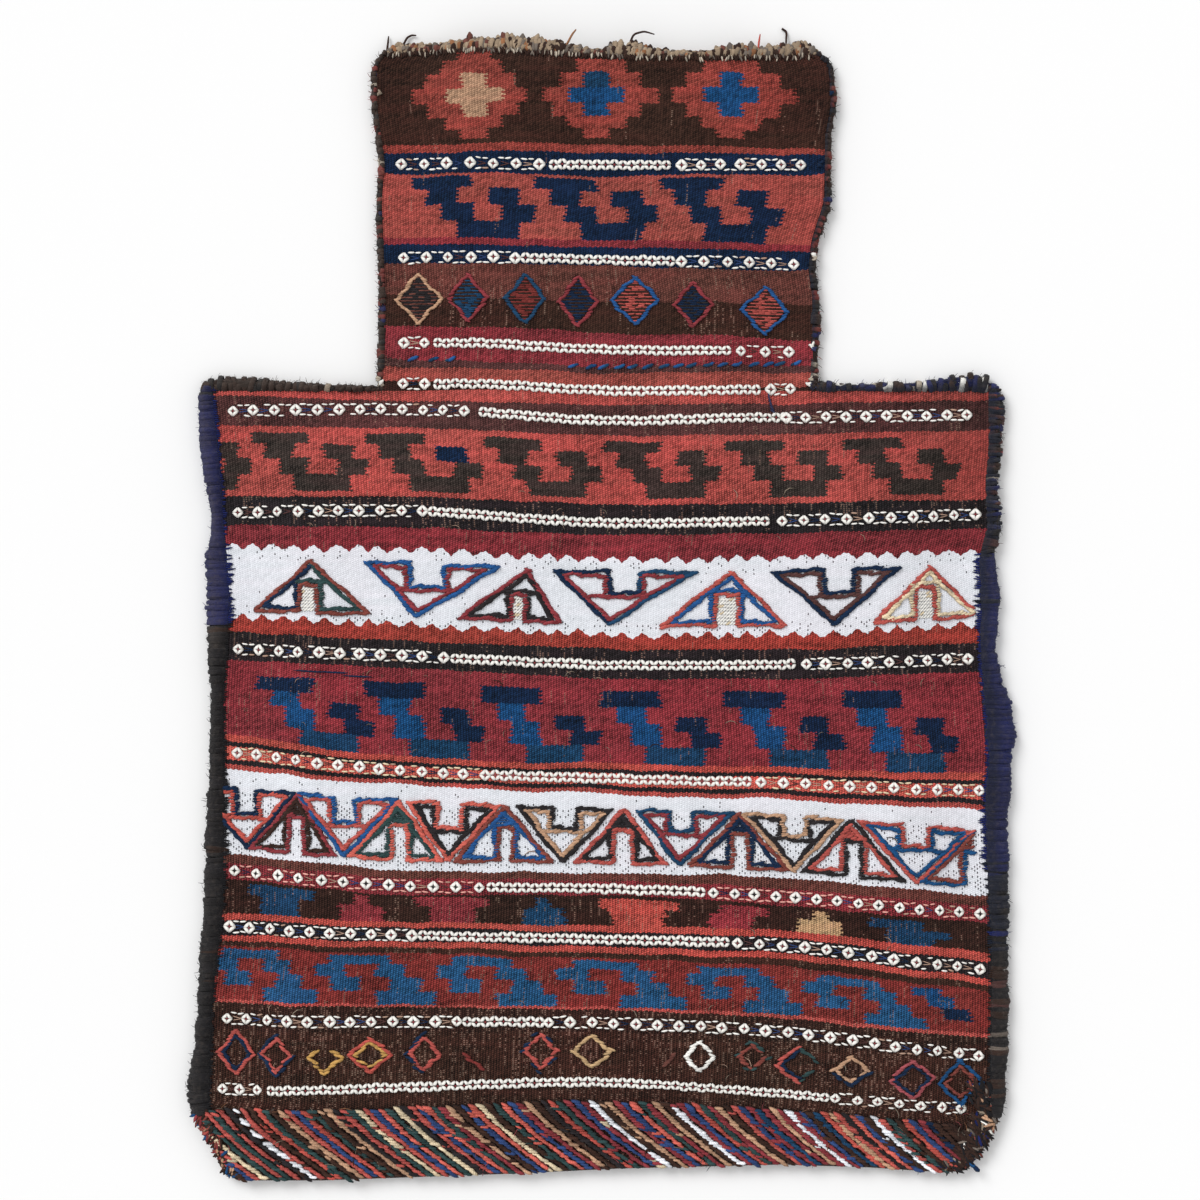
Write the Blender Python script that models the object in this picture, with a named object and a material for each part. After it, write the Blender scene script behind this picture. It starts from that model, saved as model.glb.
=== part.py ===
# A hand-woven salt bag with a bottle neck, empty and laid flat on its back.
# One woven strip is folded at the base to make the front and the back, and its sides are overcast.
# The mouth is towards +Y, the woven front faces +Z, and the bag rests on Z = 0.

import math

import bmesh
import bpy
from mathutils import Vector
from mathutils.geometry import delaunay_2d_cdt

# Driving dimensions, in metres
BODY_WIDTH = 0.386
BODY_LENGTH = 0.390
NECK_WIDTH = 0.220
NECK_LENGTH = 0.170
CLOTH_THICKNESS = 0.0028
NECK_GAPE = 0.0085
BODY_GAPE = 0.0125
SEAM_MARGIN = 0.008
SWELL_WIDTH = 0.042
POCKET_START = 0.12
LEAST_POCKET = 0.0004
FOLD_BULGE = 0.0016
PIECE_GAP = 0.0003

LOZENGE_WIDTH = 0.0055
LOZENGE_HEIGHT = 0.0054
LOZENGE_RISE = 0.0009
SPACED_PITCH = 0.0107
OUTLINE_YARN = 0.0024
DIAMOND_BORDER = 0.0029
OUTLINE_RISE = 0.0006
RIDGE_PITCH = 0.0053
RIDGE_RISE = 0.0011
RIDGE_SLANT = 1.03
RIDGE_FOOT = 0.0018
RIDGE_SOLVE_STEPS = 12
ZIGZAG_PITCH = 0.0110
ZIGZAG_DEPTH = 0.0026

SIDE_BINDING_HEIGHT = 0.0086
SIDE_WRAP_PITCH = 0.0135
WRAP_WAIST = 0.84
NECK_BINDING_WIDTH = 0.0031
NECK_BINDING_HEIGHT = 0.0066
NECK_WRAP_PITCH = 0.0190
SHOULDER_BINDING_HEIGHT = 0.0078
SHOULDER_REACH = 0.6
FRINGE_LENGTH = 0.0082
TUFT_PITCH = 0.0175
TUFT_WAIST = 0.62

# Points of a flat drawing closer than this become one
WELD = 1e-5

# The weaving draft below is drawn at this scale, in millimetres: x to the right of the centre
# line, and the drop down from the mouth. The neck ends where the body starts.
DRAFT_BODY_HALF = 193.0
DRAFT_BODY_LENGTH = 390.0
DRAFT_NECK_HALF = 110.0
DRAFT_NECK_LENGTH = 170.0
DRAFT_STATIONS = (-186.0, -93.0, 0.0, 94.0, 192.0)
DRAFT_NECK_STATIONS = (-110.0, -55.0, 0.0, 55.0, 110.0)
LINE_STOPS = (-1.06, -0.72, -0.4, 0.0, 0.4, 0.72, 1.06)
NECK_LINE_STOPS = (-1.12, -0.5, 0.0, 0.5, 1.12)
LINE_OVERRUN = 0.15
NECK_OVERRUN = 12.0
LOWEST_ROW = 580.0

# Edges of the cloth, each from the top down
NECK_LEFT_EDGE = ((-112.5, 0), (-112.5, 25), (-108.5, 55), (-110, 75), (-108, 125), (-109, 170))
NECK_RIGHT_EDGE = ((113, 0), (115.5, 25), (112.5, 42), (112, 75), (105.5, 95), (104, 110), (106, 122),
                   (105, 170))
LEFT_EDGE = ((-193, 170), (-188, 225), (-185.5, 275), (-188, 325), (-190, 400), (-193, 475), (-194, 529))
RIGHT_EDGE = ((192, 170), (192, 240), (189.5, 255), (188.5, 285), (192, 320), (194, 350), (192, 385),
              (194.5, 475), (194.5, 533))
WORN_LEFT_CORNER = ((-201, 531), (-196.5, 541.5), (-189.5, 557), (-182.5, 565.5))
BASE_FOLD = ((-140.5, 565.5), (-98.5, 564), (-42, 562), (9.5, 559.5), (92, 557.5), (136, 559), (173, 561.5))
WORN_RIGHT_CORNER = ((181, 560.5), (189, 551), (194, 544))

# Widths of the overcast edges from the top down, at even steps
LEFT_BINDING_WIDTHS = (8.5, 11.0, 12.0, 10.5, 7.5, 6.5, 8.0, 9.0, 9.5, 12.5)
RIGHT_BINDING_WIDTHS = (8.5, 6.0, 8.0, 11.0, 6.5, 12.0, 13.5, 9.5, 8.0, 9.0, 9.5, 8.5, 7.0)
LEFT_SHOULDER_WIDTHS = (10.0, 8.5, 6.0, 4.5, 3.5)
RIGHT_SHOULDER_WIDTHS = (3.5, 4.0, 4.5, 7.0, 9.0)
LEFT_BINDING_CHANGE = 315.0
RIGHT_BINDING_CHANGES = (252.0, 410.0)
BINDING_FOOT = 3.0

# Yarn colours, as they look on screen
YARNS = {
    "brown": (66, 45, 38),
    "dark": (48, 38, 35),
    "black": (38, 37, 42),
    "red": (178, 64, 56),
    "orange": (198, 82, 62),
    "crimson": (146, 46, 56),
    "navy": (32, 42, 82),
    "blue": (42, 88, 134),
    "white": (228, 228, 226),
    "beige": (205, 165, 126),
    "yellow": (198, 162, 98),
    "green": (48, 84, 76),
}
BINDING_NAVY = (30, 32, 62)
BINDING_BLACK = (34, 32, 34)
BINDING_SPECKLED = (58, 54, 66)
BINDING_BROWN = (64, 48, 42)
PALE_WOOL = (176, 166, 150)

# Neck bands: the colour, and the drop of the band's upper edge at the five neck stations
NECK_BANDS = (
    ("red", (46.5, 47, 47.5, 48.5, 48)),
    ("navy", (51, 51.5, 52, 52.5, 51.5)),
    ("red", (61, 62, 63, 62.5, 61.5)),
    ("navy", (96.5, 97.5, 99, 99.5, 100.5)),
    ("brown", (108, 109, 110, 111, 111.5)),
    ("crimson", (137.5, 138.5, 141.5, 143, 145)),
    ("dark", (153, 156, 159, 158, 156.5)),
    ("orange", (160, 161.5, 163.5, 163.5, 162)),
)

# Body bands, with the upper edge at the five body stations
BODY_BANDS = (
    ("dark", (172, 175.5, 176.5, 175.5, 174.5)),
    ("red", (187.5, 189, 193, 192, 190)),
    ("black", (223, 223.5, 227.5, 226.5, 224.5)),
    ("crimson", (237.5, 239, 242.5, 241.5, 239)),
    ("white", (247.5, 250, 254, 253.5, 250)),
    ("orange", (283.5, 288, 292.5, 292.5, 287.5)),
    ("black", (293.5, 297.5, 300.5, 300.5, 298)),
    ("crimson", (305, 309, 314, 314, 311)),
    ("black", (346.5, 356, 359.5, 361.5, 366)),
    ("red", (356.5, 364.5, 368, 371, 376)),
    ("white", (360, 367.5, 371.5, 374.5, 381)),
    ("brown", (402.5, 409.5, 411, 413.5, 423.5)),
    ("crimson", (407, 413.3, 415, 418.8, 428.5)),
    ("dark", (415, 421.5, 422.2, 427, 437)),
    ("orange", (432, 435.5, 437, 440, 452)),
    ("black", (435.3, 438.3, 440.3, 443.6, 456.8)),
    ("orange", (442.7, 445.4, 447.5, 451.2, 464.8)),
    ("brown", (445.8, 448.3, 450.8, 454.2, 468)),
    ("red", (448.4, 451, 453.4, 457.8, 471)),
    ("brown", (477, 477.8, 479, 483.8, 495)),
)
ZIGZAG_BANDS = (4, 5)
RIDGE_TOP = (530, 528, 524.5, 530, 538.5)

# Lozenge chains: the drop of the centre line at the stations, then runs of spaced and of packed
# lozenges, each with its first and last x. A spaced lozenge rises to a point, and packed ones
# share one raised line.
NECK_CHAINS = (
    ((56, 57, 58, 57.5, 56.5), (("spaced", -100, -30.5), ("packed", -20.5, 29.5), ("spaced", 40, 100))),
    ((103, 103.5, 104.7, 105.5, 106.2), (("spaced", -99, -42.5), ("packed", -34, 32), ("spaced", 40, 97))),
    ((145.5, 147, 150, 150.5, 150.5), (("spaced", -99, -88.5), ("packed", -78, 60), ("spaced", 70, 94.5))),
    ((166, 167.5, 170.5, 170.5, 168.5), (("spaced", -99, -88.5), ("packed", -78, 75), ("spaced", 85, 95))),
)
BODY_CHAINS = (
    ((180, 179.5, 185.5, 183.5, 182), (("spaced", -185, -68), ("packed", -55.5, 89.5), ("spaced", 100, 184))),
    ((231, 230.8, 236.5, 235.5, 232), (("spaced", -182.5, -89), ("packed", -80, 79.5), ("spaced", 90, 186))),
    ((299.5, 303, 307.3, 307, 304.5),
     (("spaced", -182, -78.5), ("packed", -70, 92), ("spaced", 102, 178.5))),
    ((351.5, 360.3, 363.7, 366.3, 371), (("spaced", -183, -58), ("packed", -49, 69.5), ("spaced", 80, 187))),
    ((411, 417.4, 418.6, 423, 432.8),
     (("spaced", -184, -61), ("packed", -51, 46), ("spaced", 56, 188))),
    ((439, 441.9, 443.9, 447.4, 460.8),
     (("spaced", -186.5, -98), ("packed", -88, 59.5), ("spaced", 69, 188))),
    ((485, 485, 485.5, 490.5, 504), (("spaced", -188, -72), ("packed", -62, -38), ("spaced", -28, 190))),
    ((520.5, 517.5, 515, 521.5, 531),
     (("spaced", -190, -176), ("packed", -166, 109.5), ("spaced", 119, 181))),
)

# Running hooks: a top bar, a body that steps down to the right, and a returning end, in quarters of
# the band's height and eighths of the hook's length
HOOK_ROWS = (((0, 4),), ((1, 3), (5, 7)), ((2, 4), (6, 8)), ((3, 7),))
TURNED_HOOK_ROWS = (((1, 5),), ((0, 2), (4, 6)), ((1, 3), (5, 7)), ((4, 8),))
NECK_HOOKS = ("navy", (62.5, 63.3, 64.5, 64, 63), (93, 94, 95.5, 96, 97), 7.75, (-95, -33, 29.5))
BODY_HOOKS = (
    ("dark", HOOK_ROWS, (191, 192, 196, 195, 193), (220, 221, 224.5, 223.5, 221.5), 7.3,
     (-175.5, -117.5, -58.5, 1, 62, 121)),
    ("blue", HOOK_ROWS, (313, 316, 320, 320.5, 320), (343, 353, 356.5, 358.5, 362), 7.4,
     (-172.5, -117.5, -60, 0.5, 61.5, 120)),
    ("blue", TURNED_HOOK_ROWS, (449.8, 452.4, 454.8, 460, 472.5), (475.5, 476.5, 477.6, 482, 493), 7.5,
     (-192, -142, -82, -22, 41.5, 99)),
)

# Stepped crosses of the neck: the centre, and the inner cross's colour
CROSS_HALF_WIDTHS = (8, 15, 22, 28, 22, 14.5, 7.5)
CROSS_TOP = 1.5
CROSS_ROW = 6.2
INNER_CROSS = ((6.2, 13.0, 35.0), (13.5, 20.3, 26.3))
CROSSES = ((-63, "beige"), (-2, "blue"), (65.5, "blue"))

# Diamonds of the neck: the centre, and the colours from the outside in
NECK_DIAMOND = (12.0, 12.4)
NECK_DIAMONDS = (
    (-91.5, 123.5, "yellow", "black"), (-66.5, 123.5, "red", "blue"), (-38, 124, "blue", "red"),
    (-11.5, 125.5, "crimson", "navy"), (17, 125.5, "blue", "red"), (46, 127, "red", "navy"),
    (81, 128, "blue", "red"),
)

# Outline diamonds above the base
BASE_DIAMOND = (10.0, 9.4)
BASE_DIAMONDS = (
    (-183, 502, "red"), (-162, 502, "red"), (-137.5, 502, "yellow"), (-115, 501.5, "yellow"),
    (-88, 501, "red"), (-30, 500, "red"), (-4.5, 499.5, "beige"), (49, 501.5, "white"),
    (75, 502.5, "green"), (98.5, 505.5, "red"), (124.5, 509.5, "beige"), (155, 513, "red"),
    (180, 516.5, "blue"),
)

# Stepped figures of the dark band: the centre, three half widths from the top, and the colour
STEP_LINES = ((417, 422.5, 424, 429, 439), (431.5, 434.8, 436.5, 439.5, 451.5))
STEP_FIGURES = (
    (-160, (16, 13, 10), "blue"), (-118.5, (3, 7.5, 11), "crimson"), (-75, (18, 13.5, 11.5), "crimson"),
    (-28.5, (4.5, 9.5, 11.5), "blue"), (18.5, (19.5, 13.5, 12), "orange"), (68.5, (15, 12, 9.5), "crimson"),
    (108.5, (5, 9, 11), "beige"), (154.5, (20, 16, 12), "blue"),
)

# Outlined triangles of the white bands: the lines that their tops and feet stand on, then each
# one's centre, half width, direction and its two outline colours
UPPER_TRIANGLE_LINES = ((254, 256.5, 260.5, 260, 256), (279, 281.5, 286, 286, 281.5))
UPPER_TRIANGLES = (
    (-144.5, 28.5, "up", "red", "navy"), (-84, 31.5, "down", "blue", "red"),
    (-43, 25.5, "up", "black", "red"),
    (10.5, 31.5, "down", "navy", "red"), (62, 28.5, "up", "red", "blue"), (118, 31, "down", "black", "blue"),
    (164, 24, "up", "red", "beige"),
)
LOWER_TRIANGLE_LINES = ((369, 374.5, 378.5, 381, 391.5), (398.5, 404.5, 406, 409, 418.5))
LOWER_TRIANGLES = (
    (-151, 24, "up", "red", "black"), (-126, 23, "down", "blue", "red"),
    (-100.5, 23.5, "up", "beige", "green"), (-74.5, 23.5, "down", "red", "black"),
    (-47, 24, "up", "black", "blue"),
    (-19, 25, "down", "black", "beige"), (10, 25, "up", "red", "black"), (38.5, 24.5, "down", "blue", "red"),
    (67.5, 25, "up", "crimson", "navy"), (96, 24.5, "down", "beige", "black"),
    (125, 25, "up", "black", "red"), (153.5, 24, "down", "red", "blue"),
)
SLOT_HALF = 3.6
SLOT_DEPTH = 0.52

# Plain stripes of the hidden back: the colour, and the drop where the stripe starts
BACK_STRIPES = (
    ("brown", 0), ("red", 60), ("brown", 75), ("navy", 112), ("brown", 124), ("red", 172), ("brown", 190),
    ("navy", 235), ("crimson", 247), ("brown", 292), ("red", 345), ("brown", 362), ("navy", 410),
    ("brown", 424), ("red", 470), ("brown", 486),
)
RIDGE_COLOURS = ("white", "brown", "red", "blue", "crimson", "green", "red", "black", "beige", "blue",
                 "brown", "orange")


def from_draft(size):
    return size / 1000.0


def to_draft(size):
    return size * 1000.0


def blend(low, high, share):
    return low + (high - low) * share


def ease(share):
    share = min(max(share, 0.0), 1.0)
    return share * share * (3.0 - 2.0 * share)


def yarn_material(name, screen_colour, roughness=0.92):
    linear = [((c / 255.0 + 0.055) / 1.055) ** 2.4 if c > 10 else c / 255.0 / 12.92 for c in screen_colour]
    material = bpy.data.materials.new(name)
    material.use_nodes = True
    shader = material.node_tree.nodes["Principled BSDF"]
    shader.inputs["Base Color"].default_value = (*linear, 1.0)
    shader.inputs["Roughness"].default_value = roughness
    shader.inputs["Metallic"].default_value = 0.0
    shader.inputs["Sheen Weight"].default_value = 0.25
    material.diffuse_color = (*linear, 1.0)
    return material


# The draft's rows and columns on the real bag

def mouth_y():
    return (NECK_LENGTH + BODY_LENGTH) / 2.0


def shoulder_y():
    return mouth_y() - NECK_LENGTH


def row_y(drop):
    if drop <= DRAFT_NECK_LENGTH:
        return mouth_y() - drop * NECK_LENGTH / DRAFT_NECK_LENGTH
    return shoulder_y() - (drop - DRAFT_NECK_LENGTH) * BODY_LENGTH / DRAFT_BODY_LENGTH


def on_body(x, drop):
    return Vector((x / DRAFT_BODY_HALF * BODY_WIDTH / 2.0, row_y(drop)))


def on_neck(x, drop):
    return Vector((x / DRAFT_NECK_HALF * NECK_WIDTH / 2.0, row_y(drop)))


def smooth_between(stations, values, x):
    last = len(stations) - 2
    i = 0
    while i < last and x > stations[i + 1]:
        i += 1
    span = stations[i + 1] - stations[i]
    share = min(max((x - stations[i]) / span, -LINE_OVERRUN), 1.0 + LINE_OVERRUN)
    before = values[max(i - 1, 0)]
    after = values[min(i + 2, len(values) - 1)]
    start_slope = (values[i + 1] - before) / (2.0 if i > 0 else 1.0)
    end_slope = (after - values[i]) / (2.0 if i < last else 1.0)
    square = share * share
    cube = square * share
    return ((2 * cube - 3 * square + 1) * values[i] + (cube - 2 * square + share) * start_slope
            + (3 * square - 2 * cube) * values[i + 1] + (cube - square) * end_slope)


def body_line(values):
    return lambda x: smooth_between(DRAFT_STATIONS, values, x)


def neck_line(values):
    return lambda x: smooth_between(DRAFT_NECK_STATIONS, values, x)


def straight_between(points, share):
    place = share * (len(points) - 1)
    i = min(int(place), len(points) - 2)
    return blend(points[i], points[i + 1], place - i)


def edge_x(edge, drop):
    for (x0, d0), (x1, d1) in zip(edge, edge[1:]):
        if drop <= d1:
            return blend(x0, x1, (drop - d0) / (d1 - d0))
    return edge[-1][0]


# The bag's outline and how far it swells

def sewn_edge():
    left = [on_neck(x, d) for x, d in NECK_LEFT_EDGE]
    left += [on_body(x, d) for x, d in LEFT_EDGE + WORN_LEFT_CORNER + BASE_FOLD + WORN_RIGHT_CORNER]
    right = [on_body(x, d) for x, d in reversed(RIGHT_EDGE)]
    right += [on_neck(x, d) for x, d in reversed(NECK_RIGHT_EDGE)]
    return left + right


SEWN_EDGE = sewn_edge()
SWELL_STEPS = (SEAM_MARGIN + SWELL_WIDTH / 2.0, SEAM_MARGIN + SWELL_WIDTH)


def distance_to_edge(point):
    nearest = 1.0
    for start, end in zip(SEWN_EDGE, SEWN_EDGE[1:]):
        along = end - start
        share = min(max((point - start).dot(along) / along.length_squared, 0.0), 1.0)
        nearest = min(nearest, (point - start - along * share).length)
    return nearest


def gape(point):
    swell = ease((distance_to_edge(point) - SEAM_MARGIN) / SWELL_WIDTH)
    below_shoulder = ease((shoulder_y() + SWELL_WIDTH - point.y) / (2.0 * SWELL_WIDTH))
    return swell * blend(NECK_GAPE, BODY_GAPE, below_shoulder)


def front_height(point):
    return 2.0 * CLOTH_THICKNESS + gape(point)


# Lines down both sides of the bag, parallel to its sewn edge, along which it swells. Each runs from
# the mouth round the corner where the neck meets the shoulder, and down to the base ridges.

def swell_side(neck_edge, body_edge, inset, side):
    across = Vector((inset * side, 0.0))
    down = Vector((0.0, -inset))
    corner = on_neck(*neck_edge[-1])
    points = [on_neck(x, drop) + across for x, drop in neck_edge]
    points += [corner + (across + down) * math.sqrt(0.5), corner + down]
    points += [on_body(*body_edge[0]) + across + down]
    points += [on_body(x, drop) + across for x, drop in body_edge[1:]]
    return points


def swell_sides(inset):
    left = swell_side(NECK_LEFT_EDGE, LEFT_EDGE, inset, 1.0)
    right = swell_side(NECK_RIGHT_EDGE, RIGHT_EDGE, inset, -1.0)
    return left, right


def signed_area(points):
    return sum(a.x * b.y - b.x * a.y for a, b in zip(points, points[1:] + points[:1])) / 2.0


# The flat drawing of the woven front

class Draft:
    def __init__(self):
        self.points = []
        self.lifts = []
        self.shapes = []
        self.colours = []
        self.creases = []

    def shape(self, corners, colour, lift=0.0):
        start = len(self.points)
        turned = signed_area(corners) < 0.0
        self.points += corners[::-1] if turned else corners
        self.lifts += [lift] * len(corners)
        self.shapes.append(list(range(start, start + len(corners))))
        self.colours.append(colour)

    def crest(self, point, lift):
        self.points.append(point)
        self.lifts.append(lift)

    def crease(self, points):
        start = len(self.points)
        self.points += points
        self.lifts += [0.0] * len(points)
        self.creases += [(start + i, start + i + 1) for i in range(len(points) - 1)]


def draw_band(draft, upper, lower, place, stops, half_width, colour):
    xs = [stop * half_width for stop in stops]
    top = [place(x, upper(x)) for x in xs]
    bottom = [place(x, lower(x)) for x in reversed(xs)]
    draft.shape(top + bottom, colour)


def draw_neck_bands(draft):
    foot = DRAFT_NECK_LENGTH + NECK_OVERRUN
    edges = [neck_line(values) for colour, values in NECK_BANDS]
    edges.append(neck_line([foot] * len(DRAFT_NECK_STATIONS)))
    for (colour, values), upper, lower in zip(NECK_BANDS, edges, edges[1:]):
        draw_band(draft, upper, lower, on_neck, NECK_LINE_STOPS, DRAFT_NECK_HALF, colour)


def zigzag_edge(values):
    line = body_line(values)
    pitch = to_draft(ZIGZAG_PITCH)
    half = DRAFT_BODY_HALF * LINE_STOPS[-1]
    count = 2 * int(half / pitch)
    stops = []
    for i in range(2 * count + 1):
        x = -half + i * half / count
        tooth = to_draft(ZIGZAG_DEPTH) / 2.0 * (1 if i % 2 else -1)
        stops.append((x, line(x) + tooth))
    return stops


def draw_body_bands(draft):
    edges = []
    for i, (colour, values) in enumerate(BODY_BANDS):
        line = body_line(values)
        if i in ZIGZAG_BANDS:
            edges.append(zigzag_edge(values))
        else:
            xs = [stop * DRAFT_BODY_HALF for stop in LINE_STOPS]
            edges.append([(x, line(x)) for x in xs])
    foot = [(x, LOWEST_ROW) for x, d in edges[-1]]
    edges.append(foot)
    for (colour, values), upper, lower in zip(BODY_BANDS, edges, edges[1:]):
        corners = [on_body(x, d) for x, d in upper]
        corners += [on_body(x, d) for x, d in reversed(lower)]
        draft.shape(corners, colour)


def lozenge_places(kind, first, last):
    pitch = to_draft(SPACED_PITCH if kind == "spaced" else LOZENGE_WIDTH)
    steps = max(int(round((last - first) / pitch)), 1)
    return [blend(first, last, i / steps) for i in range(steps + 1)]


def draw_chain(draft, line, runs, place):
    for kind, first, last in runs:
        places = lozenge_places(kind, first, last)
        packed = kind == "packed"
        half = (last - first) / (len(places) - 1) / 2.0 if packed else to_draft(LOZENGE_WIDTH) / 2.0
        for x in places:
            left = place(x - half, line(x - half))
            right = place(x + half, line(x + half))
            centre = place(x, line(x))
            rise = Vector((0.0, LOZENGE_HEIGHT / 2.0))
            draft.shape([left, centre - rise, right, centre + rise], "white")
            for point in (left, right) if packed else (centre,):
                draft.crest(point, LOZENGE_RISE)
            if packed:
                draft.crease([left, right])


def draw_hooks(draft, colour, rows, upper, lower, step, starts, place):
    for start in starts:
        for row, spans in enumerate(rows):
            for first, last in spans:
                xs = (start + first * step, start + last * step)
                corners = []
                for share, pair in ((row / 4.0, xs), ((row + 1) / 4.0, xs[::-1])):
                    corners += [place(x, blend(upper(x), lower(x), share)) for x in pair]
                draft.shape(corners, colour)


def draw_crosses(draft):
    for centre, inner_colour in CROSSES:
        for row, half in enumerate(CROSS_HALF_WIDTHS):
            top = CROSS_TOP + row * CROSS_ROW
            bottom = top + CROSS_ROW
            corners = [on_neck(centre - half, top), on_neck(centre + half, top),
                       on_neck(centre + half, bottom), on_neck(centre - half, bottom)]
            draft.shape(corners, "red")
        for half, top, bottom in INNER_CROSS:
            corners = [on_neck(centre - half, top), on_neck(centre + half, top),
                       on_neck(centre + half, bottom), on_neck(centre - half, bottom)]
            draft.shape(corners, inner_colour)


def diamond(centre, half_width, half_height):
    return [centre + Vector(corner) for corner in
            ((-half_width, 0), (0, -half_height), (half_width, 0), (0, half_height))]


def draw_diamonds(draft):
    for x, drop, outer, inner in NECK_DIAMONDS:
        centre = on_neck(x, drop)
        half_width, half_height = (from_draft(half) for half in NECK_DIAMOND)
        draft.shape(diamond(centre, half_width, half_height), outer)
        half_width -= DIAMOND_BORDER
        half_height -= DIAMOND_BORDER
        draft.shape(diamond(centre, half_width, half_height), inner, OUTLINE_RISE)
    for x, drop, colour in BASE_DIAMONDS:
        centre = on_body(x, drop)
        half_width, half_height = (from_draft(half) for half in BASE_DIAMOND)
        draft.shape(diamond(centre, half_width, half_height), colour, OUTLINE_RISE)
        half_width -= OUTLINE_YARN
        half_height -= OUTLINE_YARN
        draft.shape(diamond(centre, half_width, half_height), "brown")


def draw_step_figures(draft):
    upper, lower = (body_line(values) for values in STEP_LINES)
    for centre, halves, colour in STEP_FIGURES:
        rows = len(halves)
        for row, half in enumerate(halves):
            corners = []
            for share, pair in ((row / rows, (-half, half)), ((row + 1) / rows, (half, -half))):
                xs = [centre + x for x in pair]
                corners += [on_body(x, blend(upper(x), lower(x), share)) for x in xs]
            draft.shape(corners, colour)


# An outlined triangle stands on its foot line, with a slot rising from the foot. Its three rings,
# from the outside in, each have a foot, an apex, half a foot's width, half a slot and a slot's top.
def triangle_rings(half, height, slot):
    slant = math.hypot(half, height)
    rings = []
    for ring in range(3):
        inset = ring * to_draft(OUTLINE_YARN)
        apex = height - inset * slant / half
        side = half * (1.0 - inset / height) - inset * slant / height
        rings.append((inset, apex, side, slot + inset, height * SLOT_DEPTH + inset))
    return rings


def draw_triangle(draft, lines, centre, half, direction, outer_colour, inner_colour):
    upper, lower = (body_line(values) for values in lines)
    height = lower(centre) - upper(centre)
    foot_line, sign = (lower, -1.0) if direction == "up" else (upper, 1.0)

    def corner(u, v):
        return on_body(centre + u, foot_line(centre + u) + sign * v)

    rings = triangle_rings(half, height, SLOT_HALF)
    for (foot, apex, side, inner, top), colour in zip(rings[:2], (outer_colour, inner_colour)):
        outline = [(-side, foot), (-inner, foot), (-inner, top), (inner, top), (inner, foot), (side, foot),
                   (0.0, apex)]
        lift = OUTLINE_RISE if colour == inner_colour else 0.0
        draft.shape([corner(u, v) for u, v in outline], colour, lift)
    foot, apex, side, inner, top = rings[2]
    reach = foot + (side - inner) / side * (apex - foot)
    for turn in (-1.0, 1.0):
        outline = [(turn * side, foot), (turn * inner, foot), (turn * inner, reach)]
        draft.shape([corner(u, v) for u, v in outline], "white")


# Diagonal wrapped ridges cover the base, from the last chain down to the fold

def line_y(line, x):
    return row_y(line(x / (BODY_WIDTH / 2.0) * DRAFT_BODY_HALF))


def ridge_phase(point):
    return (point.x + RIDGE_SLANT * (point.y - row_y(DRAFT_BODY_LENGTH))) / RIDGE_PITCH


def ridge_lift(point):
    share = abs((ridge_phase(point) + 0.5) % 1.0 - 0.5) * 2.0
    return RIDGE_RISE * (1.0 - share)


def ridge_point(phase, line):
    offset = phase * RIDGE_PITCH + RIDGE_SLANT * row_y(DRAFT_BODY_LENGTH)
    x = offset
    y = 0.0
    for step in range(RIDGE_SOLVE_STEPS):
        y = line_y(line, x)
        x = offset - RIDGE_SLANT * y
    return Vector((x, y))


def ridge_foot(x):
    for (x0, d0), (x1, d1) in zip(BASE_FOLD, BASE_FOLD[1:]):
        if x <= x1 or x1 == BASE_FOLD[-1][0]:
            return blend(d0, d1, (max(x, x0) - x0) / (x1 - x0)) - to_draft(RIDGE_FOOT)


def draw_ridges(draft):
    top = body_line(RIDGE_TOP)
    reach = BODY_WIDTH / 2.0 * LINE_STOPS[-1]
    first = int(math.floor(ridge_phase(Vector((-reach, row_y(LOWEST_ROW)))))) - 1
    last = int(math.ceil(ridge_phase(Vector((reach, row_y(DRAFT_BODY_LENGTH))))))
    for ridge in range(first, last + 1):
        colour = RIDGE_COLOURS[ridge % len(RIDGE_COLOURS)]
        for start in (ridge - 0.5, ridge):
            corners = [ridge_point(start, top), ridge_point(start + 0.5, top),
                       ridge_point(start + 0.5, ridge_foot), ridge_point(start, ridge_foot)]
            draft.shape(corners, colour)


def draw_front():
    draft = Draft()
    draft.shape(list(SEWN_EDGE), "brown")
    draw_neck_bands(draft)
    draw_body_bands(draft)
    draw_crosses(draft)
    colour, upper, lower, step, starts = NECK_HOOKS
    draw_hooks(draft, colour, HOOK_ROWS, neck_line(upper), neck_line(lower), step, starts, on_neck)
    for colour, rows, upper, lower, step, starts in BODY_HOOKS:
        draw_hooks(draft, colour, rows, body_line(upper), body_line(lower), step, starts, on_body)
    draw_step_figures(draft)
    draw_diamonds(draft)
    for lines, triangles in ((UPPER_TRIANGLE_LINES, UPPER_TRIANGLES),
                             (LOWER_TRIANGLE_LINES, LOWER_TRIANGLES)):
        for triangle in triangles:
            draw_triangle(draft, lines, *triangle)
    for values, runs in NECK_CHAINS:
        draw_chain(draft, neck_line(values), runs, on_neck)
    for values, runs in BODY_CHAINS:
        draw_chain(draft, body_line(values), runs, on_body)
    draw_ridges(draft)
    for inset in SWELL_STEPS:
        for side in swell_sides(inset):
            draft.crease(side)
    return draft


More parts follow.
